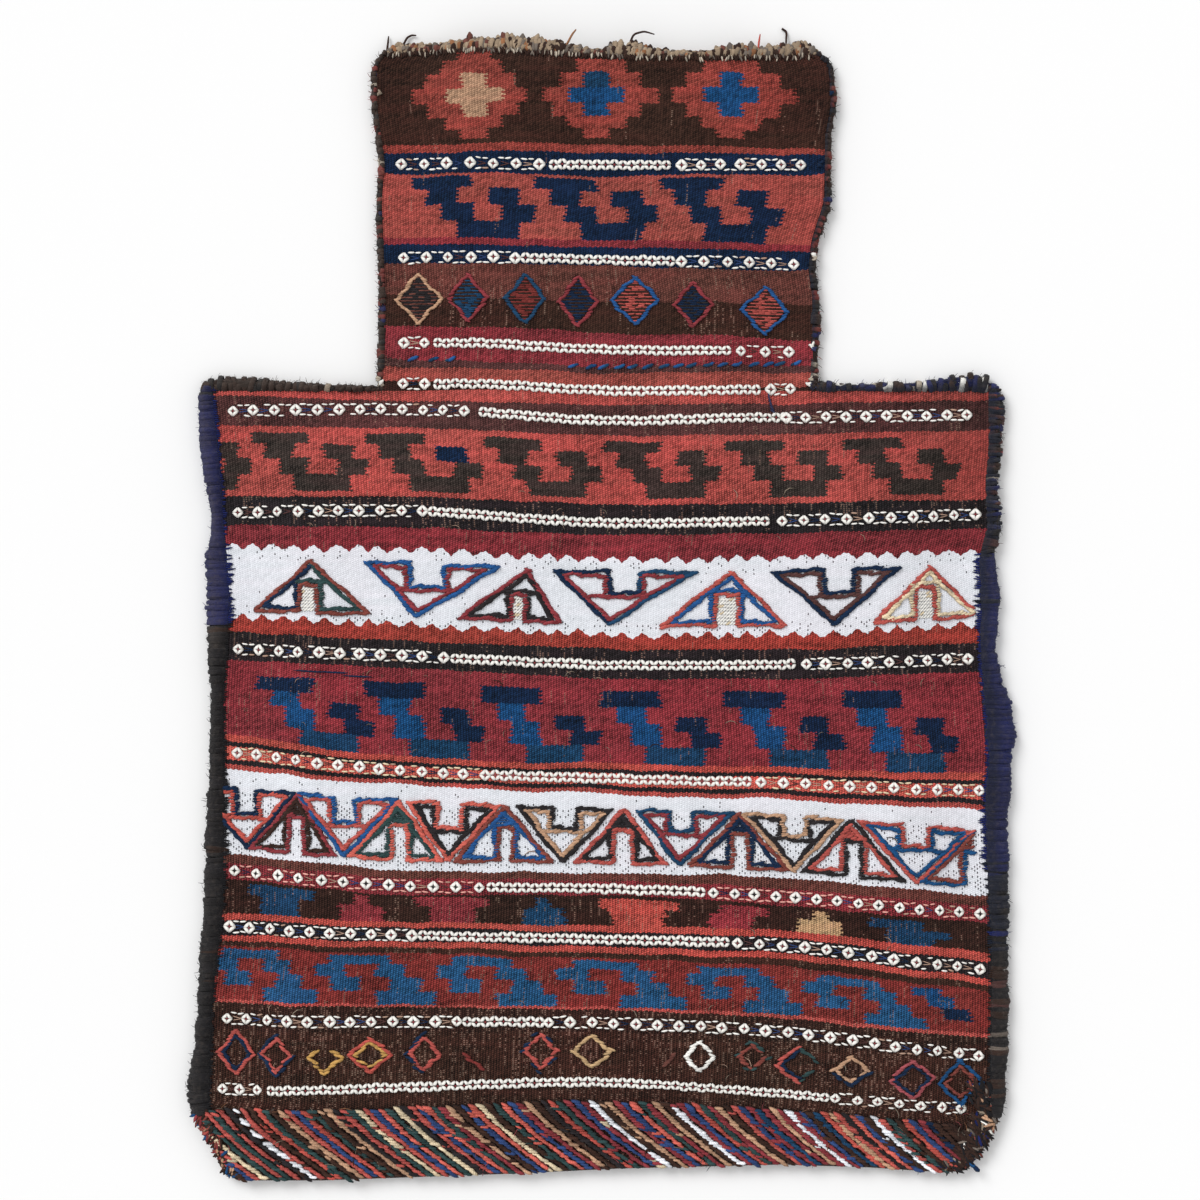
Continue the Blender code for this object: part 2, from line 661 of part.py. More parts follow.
def drape_front(mesh, draft, slots):
    flat = delaunay_2d_cdt(draft.points, draft.creases, draft.shapes, 1, WELD)
    points, edges, faces, point_sources, edge_sources, face_sources = flat
    ridge_top = body_line(RIDGE_TOP)
    made = []
    for point, sources in zip(points, point_sources):
        lift = max((draft.lifts[i] for i in sources), default=0.0)
        if line_y(ridge_foot, point.x) - WELD < point.y < line_y(ridge_top, point.x) + WELD:
            lift = ridge_lift(point)
        made.append(mesh.verts.new((point.x, point.y, front_height(point) + lift)))
    for corners, sources in zip(faces, face_sources):
        if 0 not in sources:
            continue
        face = mesh.faces.new([made[i] for i in corners])
        face.material_index = slots[draft.colours[max(sources)]]
    loose = [vertex for vertex in made if not vertex.link_faces]
    bmesh.ops.delete(mesh, geom=loose, context="VERTS")


def boundary_loop(mesh):
    rim = [edge for edge in mesh.edges if len(edge.link_faces) == 1]
    start = rim[0]
    loop = [start.verts[0], start.verts[1]]
    last = start
    while loop[-1] is not loop[0]:
        last = next(e for e in loop[-1].link_edges if e is not last and len(e.link_faces) == 1)
        loop.append(last.other_vert(loop[-1]))
    loop.pop()
    flat = [vertex.co.to_2d() for vertex in loop]
    return loop if signed_area(flat) > 0 else loop[::-1]


def back_stripe_edges(flat):
    edges = []
    for colour, drop in BACK_STRIPES[1:]:
        y = row_y(drop)
        left = min((i for i, p in enumerate(flat) if p.x < 0), key=lambda i: abs(flat[i].y - y))
        right = min((i for i, p in enumerate(flat) if p.x > 0), key=lambda i: abs(flat[i].y - y))
        edges.append((left, right))
    return edges


def back_colour(y):
    colour = BACK_STRIPES[0][0]
    for name, drop in BACK_STRIPES:
        if y < row_y(drop):
            colour = name
    return colour


# The back is flat on the floor, and the base fold and the sides close the bag between the two
def close_with_back(mesh, slots):
    loop = boundary_loop(mesh)
    flat = [vertex.co.to_2d() for vertex in loop]
    result = delaunay_2d_cdt(flat, back_stripe_edges(flat), [list(range(len(flat)))], 1, WELD / 10.0)
    points, faces, point_sources = result[0], result[2], result[3]
    back = [mesh.verts.new((point.x, point.y, 0.0)) for point in points]
    below = {i: vertex for vertex, sources in zip(back, point_sources) for i in sources}
    for corners in faces:
        face = mesh.faces.new([back[i] for i in reversed(corners)])
        middle = sum(points[i].y for i in corners) / len(corners)
        face.material_index = slots[back_colour(middle)]
    fold_top = row_y(LEFT_EDGE[-1][1]) - WELD
    belly = {}
    for i, vertex in enumerate(loop):
        before = flat[i - 1]
        after = flat[(i + 1) % len(flat)]
        if vertex.co.y < fold_top and before.y < fold_top and after.y < fold_top:
            along = (after - before).normalized()
            out = Vector((along.y, -along.x)) * FOLD_BULGE
            belly[i] = mesh.verts.new((vertex.co.x + out.x, vertex.co.y + out.y, vertex.co.z * 0.5))
    for i, vertex in enumerate(loop):
        j = (i + 1) % len(loop)
        if i in belly and j in belly:
            walls = [(vertex, belly[i], belly[j], loop[j]), (belly[i], below[i], below[j], belly[j])]
        else:
            ring = [vertex, belly.get(i), below[i], below[j], belly.get(j), loop[j]]
            walls = [tuple(corner for corner in ring if corner is not None)]
        for wall in walls:
            face = mesh.faces.new(wall)
            face.material_index = slots["dark"]


def mesh_object(name, mesh, materials, collection):
    data = bpy.data.meshes.new(name)
    bmesh.ops.triangulate(mesh, faces=mesh.faces[:])
    mesh.to_mesh(data)
    mesh.free()
    for material in materials:
        data.materials.append(material)
    thing = bpy.data.objects.new(name, data)
    collection.objects.link(thing)
    return thing


# The pocket is open at the mouth, and stops short of the sewn sides and of the fold

def make_pocket_cutter(collection):
    inset = SEAM_MARGIN + SWELL_WIDTH * POCKET_START
    left, right = swell_sides(inset)
    above_mouth = Vector((0.0, CLOTH_THICKNESS))
    left[0] = left[0] + above_mouth
    right[0] = right[0] + above_mouth
    fold = [on_body(x, drop) + Vector((0.0, inset)) for x, drop in BASE_FOLD[:-1]]
    outline = left + fold + right[::-1]
    points = list(outline)
    creases = []
    for step in SWELL_STEPS:
        above_fold = [on_body(x, drop) + Vector((0.0, step)) for x, drop in BASE_FOLD]
        for line in (*swell_sides(step), above_fold):
            creases += [(len(points) + i, len(points) + i + 1) for i in range(len(line) - 1)]
            points += line
    result = delaunay_2d_cdt(points, creases, [list(range(len(outline)))], 1, WELD)
    flat, faces = result[0], result[2]
    mesh = bmesh.new()
    floor = [mesh.verts.new((point.x, point.y, CLOTH_THICKNESS)) for point in flat]
    ceiling = []
    for point in flat:
        height = gape(Vector((point.x, min(point.y, mouth_y()))))
        ceiling.append(mesh.verts.new((point.x, point.y, CLOTH_THICKNESS + max(height, LEAST_POCKET))))
    for corners in faces:
        mesh.faces.new([ceiling[i] for i in corners])
        mesh.faces.new([floor[i] for i in reversed(corners)])
    pairs = {top: bottom for top, bottom in zip(ceiling, floor)}
    rim = [edge for edge in mesh.edges if len(edge.link_faces) == 1 and edge.verts[0] in pairs]
    for edge in rim:
        start, end = edge.verts
        mesh.faces.new((start, end, pairs[end], pairs[start]))
    bmesh.ops.recalc_face_normals(mesh, faces=mesh.faces[:])
    cutter = mesh_object("pocket_cutter", mesh, [], collection)
    cutter.hide_render = True
    cutter.display_type = "WIRE"
    return cutter


def make_bag_cloth(parts, cutters):
    names = list(YARNS)
    slots = {name: i for i, name in enumerate(names)}
    mesh = bmesh.new()
    drape_front(mesh, draw_front(), slots)
    close_with_back(mesh, slots)
    bmesh.ops.recalc_face_normals(mesh, faces=mesh.faces[:])
    materials = [yarn_material(name + "_yarn", YARNS[name]) for name in names]
    cloth = mesh_object("bag_cloth", mesh, materials, parts)
    cut = cloth.modifiers.new("pocket", "BOOLEAN")
    cut.operation = "DIFFERENCE"
    cut.solver = "EXACT"
    cut.object = make_pocket_cutter(cutters)
    return cloth


# Overcast edges: a thick wrapped rope beside the cloth, flat where it meets the cloth's edge and
# where it lies on the floor, and lumpy where its wraps lie side by side. Its rings pass through
# every corner of the edge that it follows.

def wrap_stops(edge, top, bottom, place, pitch):
    corners = [(edge_x(edge, top), top)]
    corners += [(x, drop) for x, drop in edge if top < drop < bottom]
    corners.append((edge_x(edge, bottom), bottom))
    stops = [place(*corners[0])]
    for start, end in zip(corners, corners[1:]):
        near, far = place(*start), place(*end)
        count = 2 * max(int(round((far - near).length / pitch)), 1)
        stops += [near.lerp(far, (i + 1) / count) for i in range(count)]
    return stops


def thick_section(width, height, wrap):
    crown = height * wrap
    return ((0.0, 0.0), (0.0, 2.0 * CLOTH_THICKNESS), (0.46 * width, crown), (width * wrap, 0.46 * crown),
            (0.84 * width * wrap, 0.0))


def thin_section(width, height, wrap):
    return ((0.0, 0.0), (0.0, 2.0 * CLOTH_THICKNESS), (0.5 * width, height * wrap), (width * wrap, 0.0))


def make_binding(name, stops, outward, widths, height, section, material, parts):
    mesh = bmesh.new()
    rings = []
    for i, stop in enumerate(stops):
        foot = stop + outward * PIECE_GAP
        wrap = 1.0 if i % 2 else WRAP_WAIST
        width = straight_between(widths, i / (len(stops) - 1))
        ring = []
        for out, up in section(width, height, wrap):
            place = foot + outward * out
            ring.append(mesh.verts.new((place.x, place.y, up)))
        rings.append(ring)
    return join_rings(name, mesh, rings, material, parts)


def join_rings(name, mesh, rings, material, parts):
    for near, far in zip(rings, rings[1:]):
        for i in range(len(near)):
            j = (i + 1) % len(near)
            mesh.faces.new((near[i], near[j], far[j], far[i]))
    mesh.faces.new(rings[0][::-1])
    mesh.faces.new(rings[-1])
    bmesh.ops.recalc_face_normals(mesh, faces=mesh.faces[:])
    return mesh_object(name, mesh, [material], parts)


def width_share(widths, first, last, count=6):
    return [from_draft(straight_between(widths, blend(first, last, i / count))) for i in range(count + 1)]


def make_side_bindings(parts):
    navy = yarn_material("navy_binding_yarn", BINDING_NAVY)
    black = yarn_material("black_binding_yarn", BINDING_BLACK)
    speckled = yarn_material("speckled_binding_yarn", BINDING_SPECKLED)
    half_gap = to_draft(PIECE_GAP) / 2.0
    jobs = (
        ("left_side_binding", LEFT_EDGE, Vector((-1.0, 0.0)), LEFT_BINDING_WIDTHS,
         (("upper", navy), ("lower", black)), (LEFT_BINDING_CHANGE,)),
        ("right_side_binding", RIGHT_EDGE, Vector((1.0, 0.0)), RIGHT_BINDING_WIDTHS,
         (("upper", speckled), ("middle", navy), ("lower", black)), RIGHT_BINDING_CHANGES),
    )
    for name, edge, outward, widths, yarns, changes in jobs:
        top = edge[0][1]
        foot = edge[-1][1] - BINDING_FOOT
        stops = [top, *changes, foot]
        for (label, material), start, end in zip(yarns, stops, stops[1:]):
            upper = start + (half_gap if start > top else 0.0)
            lower = end - (half_gap if end < foot else 0.0)
            shares = [(drop - top) / (foot - top) for drop in (upper, lower)]
            rings = wrap_stops(edge, upper, lower, on_body, SIDE_WRAP_PITCH)
            make_binding(f"{name}_{label}", rings, outward, width_share(widths, *shares),
                         SIDE_BINDING_HEIGHT, thick_section, material, parts)


def make_shoulder_bindings(parts):
    brown = yarn_material("shoulder_binding_yarn", BINDING_BROWN)
    speckled = yarn_material("speckled_shoulder_yarn", BINDING_SPECKLED)
    neck_width = Vector((NECK_BINDING_WIDTH + 2.0 * PIECE_GAP, 0.0))
    left_reach = Vector((from_draft(LEFT_BINDING_WIDTHS[0]) * SHOULDER_REACH, 0.0))
    right_reach = Vector((from_draft(RIGHT_BINDING_WIDTHS[0]) * SHOULDER_REACH, 0.0))
    jobs = (
        ("left_shoulder_binding", on_body(*LEFT_EDGE[0]) - left_reach,
         on_neck(*NECK_LEFT_EDGE[-1]) - neck_width, LEFT_SHOULDER_WIDTHS, brown),
        ("right_shoulder_binding", on_neck(*NECK_RIGHT_EDGE[-1]) + neck_width,
         on_body(*RIGHT_EDGE[0]) + right_reach, RIGHT_SHOULDER_WIDTHS, speckled),
    )
    for name, start, end, widths, material in jobs:
        count = 2 * int(round((end - start).length / SIDE_WRAP_PITCH))
        stops = [start.lerp(end, i / count) for i in range(count + 1)]
        make_binding(name, stops, Vector((0.0, 1.0)), [from_draft(width) for width in widths],
                     SHOULDER_BINDING_HEIGHT, thick_section, material, parts)


def make_neck_bindings(parts):
    brown = yarn_material("neck_binding_yarn", BINDING_BROWN)
    for name, edge, side in (("left_neck_binding", NECK_LEFT_EDGE, -1.0),
                             ("right_neck_binding", NECK_RIGHT_EDGE, 1.0)):
        stops = wrap_stops(edge, 0.0, DRAFT_NECK_LENGTH - to_draft(PIECE_GAP), on_neck, NECK_WRAP_PITCH)
        make_binding(name, stops, Vector((side, 0.0)), [NECK_BINDING_WIDTH] * 2, NECK_BINDING_HEIGHT,
                     thin_section, brown, parts)


# Mouth finish: a row of short tufts on the edge of each cloth, uneven in length

def make_fringe(name, on_front, material, parts):
    mesh = bmesh.new()
    left = on_neck(*NECK_LEFT_EDGE[0])
    right = on_neck(*NECK_RIGHT_EDGE[0])
    count = 2 * int(round((right.x - left.x) / TUFT_PITCH))
    rings = []
    for i in range(count + 1):
        x = blend(left.x, right.x, i / count)
        top = CLOTH_THICKNESS - PIECE_GAP / 2.0
        bottom = 0.0
        if on_front:
            top = front_height(Vector((x, mouth_y())))
            bottom = top - CLOTH_THICKNESS + PIECE_GAP / 2.0
        uneven = 0.86 + 0.14 * math.sin(i * 1.7) * math.cos(i * 0.61)
        length = FRINGE_LENGTH * uneven * (1.0 if i % 2 else TUFT_WAIST)
        root = mouth_y() + PIECE_GAP
        section = ((root, bottom), (root + length, blend(bottom, top, 0.25)),
                   (root + length * 0.9, blend(bottom, top, 0.8)), (root, top))
        rings.append([mesh.verts.new((x, y, z)) for y, z in section])
    return join_rings(name, mesh, rings, material, parts)


# The finished bag is centred on the middle of its own box, with its back on Z = 0

def centre_on_origin(parts, cutters):
    bpy.context.view_layer.update()
    corners = [thing.matrix_world @ Vector(corner) for thing in parts.objects for corner in thing.bound_box]
    centre = bpy.data.objects.new("salt_bag_centre", None)
    parts.objects.link(centre)
    low = Vector([min(corner[axis] for corner in corners) for axis in range(3)])
    high = Vector([max(corner[axis] for corner in corners) for axis in range(3)])
    centre.location = (-(low.x + high.x) / 2.0, -(low.y + high.y) / 2.0, -low.z)
    for thing in (*parts.objects, *cutters.objects):
        if thing is not centre:
            thing.parent = centre


def main():
    for thing in list(bpy.data.objects):
        bpy.data.objects.remove(thing, do_unlink=True)
    parts = bpy.data.collections.new("salt_bag")
    cutters = bpy.data.collections.new("salt_bag_cutters")
    bpy.context.scene.collection.children.link(parts)
    bpy.context.scene.collection.children.link(cutters)
    make_bag_cloth(parts, cutters)
    make_side_bindings(parts)
    make_shoulder_bindings(parts)
    make_neck_bindings(parts)
    fringe = yarn_material("pale_warp_yarn", PALE_WOOL)
    make_fringe("front_mouth_fringe", True, fringe, parts)
    make_fringe("back_mouth_fringe", False, fringe, parts)
    centre_on_origin(parts, cutters)


main()
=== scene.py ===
# Hand-woven salt bag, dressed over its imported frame.
# Places on the cloth are x, millimetres across from its centre line, and drop, millimetres down from the mouth.
# Sizes of single yarns are metres.
import math

import bmesh
import bpy
import numpy as np
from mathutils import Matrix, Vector


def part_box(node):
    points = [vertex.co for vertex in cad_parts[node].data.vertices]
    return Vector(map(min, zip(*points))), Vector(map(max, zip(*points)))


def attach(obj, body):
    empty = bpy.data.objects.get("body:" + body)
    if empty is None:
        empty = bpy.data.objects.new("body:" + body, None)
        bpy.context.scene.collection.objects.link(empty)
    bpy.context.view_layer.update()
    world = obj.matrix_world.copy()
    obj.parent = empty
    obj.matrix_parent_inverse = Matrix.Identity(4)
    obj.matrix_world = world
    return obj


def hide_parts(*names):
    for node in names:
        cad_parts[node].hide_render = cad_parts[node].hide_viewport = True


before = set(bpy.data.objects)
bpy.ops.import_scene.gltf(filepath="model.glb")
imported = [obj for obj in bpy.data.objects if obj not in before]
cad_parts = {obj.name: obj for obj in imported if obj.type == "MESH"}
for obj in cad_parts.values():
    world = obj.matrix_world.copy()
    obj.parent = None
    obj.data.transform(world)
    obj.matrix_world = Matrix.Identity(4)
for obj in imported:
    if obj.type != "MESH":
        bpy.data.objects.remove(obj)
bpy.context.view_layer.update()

layout = {
    "centreX": -0.0002,
    "mouthY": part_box("bag_cloth")[1][1],
    "clothThickness": 0.0028,
    "seamMargin": 0.008,             # the front lies flat this far in from its sewn edges
    "swellWidth": 0.042,             # then it rises over this width
    "neckGape": 0.0085,
    "bodyGape": 0.0125,
    "waves": ((0.0007, 0.11, 4), (0.00035, 0.035, 9)),     # height, length, seed
    "slopeStep": 0.0015,
    "shoulderDrop": 170.0,
    "bodyStations": (-186.0, -93.0, 0.0, 94.0, 192.0),
    "neckStations": (-110.0, -55.0, 0.0, 55.0, 110.0),
    "overshoot": 0.15,               # share of a span by which a line may run past its stations
}

# Yarn colours as they look on screen
yarns = {
    "brown": (60, 39, 31), "umber": (102, 62, 54), "dark": (52, 34, 28), "plum": (84, 54, 52), "black": (40, 36, 38),
    "olive": (60, 52, 48), "red": (174, 81, 74), "brick": (122, 50, 46), "orange": (178, 80, 70),
    "salmon": (198, 96, 84), "ember": (158, 66, 56), "tile": (158, 79, 70), "clay": (146, 68, 59),
    "blush": (220, 160, 148), "crimson": (134, 53, 59), "rust": (126, 64, 56), "rose": (156, 76, 82),
    "navy": (17, 38, 66), "blue": (24, 74, 120), "teal": (26, 64, 96), "azure": (36, 84, 124),
    "bright": (34, 82, 138), "dusk": (46, 68, 114), "green": (46, 70, 70), "white": (231, 234, 240),
    "cream": (216, 198, 166), "beige": (182, 144, 116), "sand": (190, 158, 118), "yellow": (190, 148, 84),
    "tan": (140, 96, 66), "pale": (182, 170, 154), "chalk": (236, 234, 228), "fleck": (172, 142, 124),
    "grey": (110, 100, 92), "dust": (146, 132, 116), "warpEnd": (150, 131, 110), "bindNavy": (25, 33, 84),
    "bindBlack": (29, 28, 31), "bindBrown": (52, 36, 30), "bindSlate": (27, 32, 46), "speckBlue": (52, 56, 90),
}
yarnNames = list(yarns)


def toLinear(colour):
    return [((c / 255 + 0.055) / 1.055) ** 2.4 if c > 10 else c / 255 / 12.92 for c in colour]


yarnTable = np.array([toLinear(yarns[name]) for name in yarnNames])


def yarnColour(name):
    return yarnTable[yarnNames.index(name)]


def pick(rng, mix):     # one yarn of a mix of (yarn, share)
    names, shares = zip(*mix)
    return rng.choice(names, p=shares)


def blend(low, high, share):
    return low + (high - low) * share


def ease(share):
    share = np.clip(share, 0.0, 1.0)
    return share * share * (3.0 - 2.0 * share)


def ripple(x, y, wave, seed):  # smooth noise between about -1 and 1
    rng = np.random.default_rng(seed)
    count, evener = 7, 3.4
    turns, sizes, phases = (rng.uniform(*span, count) for span in ((0, math.tau), (0.7, 1.7), (0, math.tau)))
    total = 0.0
    for turn, size, phase in zip(turns, sizes, phases):
        total = total + np.sin((x * math.cos(turn) + y * math.sin(turn)) * math.tau / (wave * size) + phase)
    return total / evener


def rowX(x):
    return layout["centreX"] + np.asarray(x, float) * 0.001


def rowY(drop):
    return layout["mouthY"] - np.asarray(drop, float) * 0.001


# Outline of the bag, each edge from the top down as (x, drop)
outline = {
    "neckLeft": ((-107.5, 0), (-110.5, 2.5), (-112.3, 7), (-112.5, 25), (-108.5, 55), (-110, 75), (-108, 125),
                 (-109, 170)),
    "neckRight": ((107.5, 0), (111.5, 2.5), (114, 7), (115.5, 25), (112.5, 42), (112, 75), (105.5, 95), (104, 110),
                  (106, 122), (105, 170)),
    "left": ((-195.8, 170), (-190.8, 225), (-187.6, 275), (-190.6, 325), (-190, 365), (-191, 430), (-196, 475),
             (-197.3, 505), (-198, 529)),
    "right": ((195.5, 170), (195.5, 200), (194, 215), (194.5, 240), (190.5, 255), (191.5, 272), (191.5, 287),
              (191, 300), (193, 320), (195.5, 350), (194, 385), (196.5, 440), (197, 475), (196.5, 505), (195.5, 533)),
    "leftCorner": ((-204, 532.5), (-199.5, 541.5), (-193.3, 549.5), (-190, 559.5), (-182.5, 565.5)),
    "rightCorner": ((197, 540), (192.5, 547.5), (188, 554), (183, 560.5)),
    "fold": ((-140.5, 565.5), (-98.5, 564), (-42, 562), (9.5, 559.5), (92, 557.5), (136, 559), (173, 561.5)),
}
sewnEdge = (outline["neckLeft"] + outline["left"] + outline["leftCorner"] + outline["fold"]
            + outline["rightCorner"][::-1] + outline["right"][::-1] + outline["neckRight"][::-1])


def edgeAt(points, drop, inset=0.0):
    xs, drops = np.array(points, float).T
    return np.interp(drop, drops, xs + inset)


def foldLine(x):
    points = (outline["leftCorner"][-1],) + outline["fold"] + (outline["rightCorner"][-1],)
    xs, drops = np.array(points, float).T
    return np.interp(x, xs, drops)


def weftLine(*drops):  # passes through five drops, at the stations of the neck or of the body
    stations = np.array(layout["neckStations" if drops[0] < layout["shoulderDrop"] else "bodyStations"])
    drops = np.array(drops, float)
    slopes = np.gradient(drops)
    past = layout["overshoot"]

    def at(x):
        x = np.asarray(x, float)
        i = np.clip(np.searchsorted(stations, x) - 1, 0, len(stations) - 2)
        share = np.clip((x - stations[i]) / (stations[i + 1] - stations[i]), -past, 1.0 + past)
        square, cube = share ** 2, share ** 3
        return ((2 * cube - 3 * square + 1) * drops[i] + (cube - 2 * square + share) * slopes[i]
                + (3 * square - 2 * cube) * drops[i + 1] + (cube - square) * slopes[i + 1])
    return at


def levelLine(drop):
    return weftLine(*[drop] * 5)


def between(upper, lower, share):
    return lambda x: blend(upper(x), lower(x), share)


def lowered(line, amount):
    return lambda x: line(x) + amount


# How high the front stands over the floor, for places in metres
def frontHeight(x, y):
    x, y = np.asarray(x, float), np.asarray(y, float)
    nearest = np.full(x.shape, 1.0)
    corners = [(float(rowX(a)), float(rowY(b))) for a, b in sewnEdge]
    for (x0, y0), (x1, y1) in zip(corners, corners[1:]):
        dx, dy = x1 - x0, y1 - y0
        share = np.clip(((x - x0) * dx + (y - y0) * dy) / (dx * dx + dy * dy), 0.0, 1.0)
        nearest = np.minimum(nearest, np.hypot(x - x0 - share * dx, y - y0 - share * dy))
    swell = ease((nearest - layout["seamMargin"]) / layout["swellWidth"])
    shoulder = float(rowY(layout["shoulderDrop"]))
    below = ease((shoulder + layout["swellWidth"] - y) / (2 * layout["swellWidth"]))
    gape = blend(layout["neckGape"], layout["bodyGape"], below)
    waves = sum(high * ripple(x, y, length, seed) for high, length, seed in layout["waves"])
    return 2 * layout["clothThickness"] + swell * (gape + waves)


def frontNormal(x, y):
    step = layout["slopeStep"]
    slopeX = (frontHeight(x + step, y) - frontHeight(x - step, y)) / (2 * step)
    slopeY = (frontHeight(x, y + step) - frontHeight(x, y - step)) / (2 * step)
    normals = np.stack([-slopeX, -slopeY, np.ones_like(slopeX)], axis=-1)
    return normals / np.linalg.norm(normals, axis=-1, keepdims=True)


print("frame loaded, mouth at", round(float(layout["mouthY"]), 4))


# Shader maths as Python expressions
class Shade:
    def __init__(self, tree, socket):
        self.tree = tree
        self.socket = socket

    def math(self, operation, *others):
        node = self.tree.nodes.new("ShaderNodeMath")
        node.operation = operation
        for slot, value in zip(node.inputs, (self, *others)):
            plug(self.tree, slot, value)
        return Shade(self.tree, node.outputs[0])

    def __add__(self, other): return self.math("ADD", other)
    def __radd__(self, other): return self.math("ADD", other)
    def __sub__(self, other): return self.math("SUBTRACT", other)
    def __rsub__(self, other): return self.math("MULTIPLY", -1.0).math("ADD", other)
    def __mul__(self, other): return self.math("MULTIPLY", other)
    def __rmul__(self, other): return self.math("MULTIPLY", other)
    def __gt__(self, other): return self.math("GREATER_THAN", other)
    def __lt__(self, other): return self.math("LESS_THAN", other)
    def floor(self): return self.math("FLOOR")
    def abs(self): return self.math("ABSOLUTE")
    def modulo(self, other): return self.math("MODULO", other)

    def clamped(self):
        result = self.math("ADD", 0.0)
        result.socket.node.use_clamp = True
        return result


def plug(tree, slot, value):
    if isinstance(value, Shade):
        tree.links.new(value.socket, slot)
    elif value is not None:
        slot.default_value = value


class Finish:  # one material and its nodes
    def __init__(self, name, roughness=0.9, sheen=0.2):
        self.material = bpy.data.materials.new(name)
        self.material.use_nodes = True
        self.tree = self.material.node_tree
        self.shader = self.tree.nodes["Principled BSDF"]
        self.shader.inputs["Roughness"].default_value = roughness
        self.shader.inputs["Sheen Weight"].default_value = sheen
        self.shader.inputs["Sheen Roughness"].default_value = 0.6
        self.shader.inputs["Specular IOR Level"].default_value = 0.12

    def node(self, kind, settings=None, inputs=None, output=0):
        made = self.tree.nodes.new(kind)
        for key, value in (settings or {}).items():
            setattr(made, key, value)
        for key, value in (inputs or {}).items():
            plug(self.tree, made.inputs[key], value)
        return Shade(self.tree, made.outputs[output])

    def attribute(self, name, output="Color"):
        return self.node("ShaderNodeAttribute", {"attribute_name": name}, output=output)

    def uv(self, name):
        joined = self.node("ShaderNodeUVMap", {"uv_map": name})
        return self.split(joined)

    def split(self, vector):
        parts = self.node("ShaderNodeSeparateXYZ", inputs={0: vector})
        return parts, Shade(self.tree, parts.socket.node.outputs[1]), Shade(self.tree, parts.socket.node.outputs[2])

    def join(self, x, y, z=0.0):
        return self.node("ShaderNodeCombineXYZ", inputs={0: x, 1: y, 2: z})

    def scaled(self, vector, amounts):
        return self.node("ShaderNodeVectorMath", {"operation": "MULTIPLY"}, {0: vector, 1: amounts})

    def place(self):
        return self.node("ShaderNodeTexCoord", output="Object")

    def noise(self, vector, scale=1.0, detail=2.0):
        return self.node("ShaderNodeTexNoise", inputs={"Vector": vector, "Scale": scale, "Detail": detail})

    def speck(self, vector):
        return self.node("ShaderNodeTexWhiteNoise", {"noise_dimensions": "2D"}, {"Vector": vector}, output="Value")

    def mix(self, factor, first, second):  # two colours, either of which may be a yarn's name
        first, second = [(*toLinear(yarns[c]), 1.0) if isinstance(c, str) else c for c in (first, second)]
        return self.node("ShaderNodeMix", {"data_type": "RGBA"}, {0: factor, 6: first, 7: second}, output=2)

    def dimmed(self, colour, amount):  # colour times a number
        return self.node("ShaderNodeVectorMath", {"operation": "SCALE"}, {0: colour, "Scale": amount})

    def bump(self, height, distance, strength=1.0):
        return self.node("ShaderNodeBump", inputs={"Height": height, "Distance": distance, "Strength": strength},
                         output="Normal")

    def finish(self, colour, normal):
        plug(self.tree, self.shader.inputs["Base Color"], colour)
        plug(self.tree, self.shader.inputs["Normal"], normal)
        return self.material


# Weft-faced weave: ribs up the cloth, staggered beads of weft across them, and a comb where two colours meet
weaveLook = {
    "ribRound": 2.8,                 # how fast a bead falls away across its rib
    "beadRound": 3.0,                # and along it
    "beadSlant": 0.8,
    "combReach": (0.2, 0.6),         # least reach of a yarn into the next rib, and how much that varies
    "pinSize": 14.0,                 # dark pins between the ribs of the white bands
    "pinDark": 0.75,
    "wornPatches": (26.0, 26.0, 1.0),
    "warpThread": (16.0, 6.0),       # how narrow and how short a bare fleck of warp is
    "warpHidden": 0.35,
    "streaks": (22.0, 260.0, 1.0),   # dye lots run across the cloth
    "mottle": 34.0,
    "warmth": (1.1, 0.84, 0.9),
    "warmPatches": 16.0,
    "warmShare": 0.8,
    "streakShade": 1.2,
    "mottleShade": 0.7,
    "grain": 0.95,
    "ribShade": 0.2,
    "valley": 0.36,                  # brightness between beads, and what a bead adds
    "crown": 1.1,
    "opening": (0.0018, 1.25),       # relief looks stronger with each bead down the cloth, up to this much
    "shadeFrom": (0.1, 0.02),       # painted shade: the upper right is darker, past this x and y
    "shadeRate": (11.0, 20.0),
    "cornerShade": 0.4,
    "hair": (2600.0, 900.0, 1.0),
    "relief": 0.00045,
}


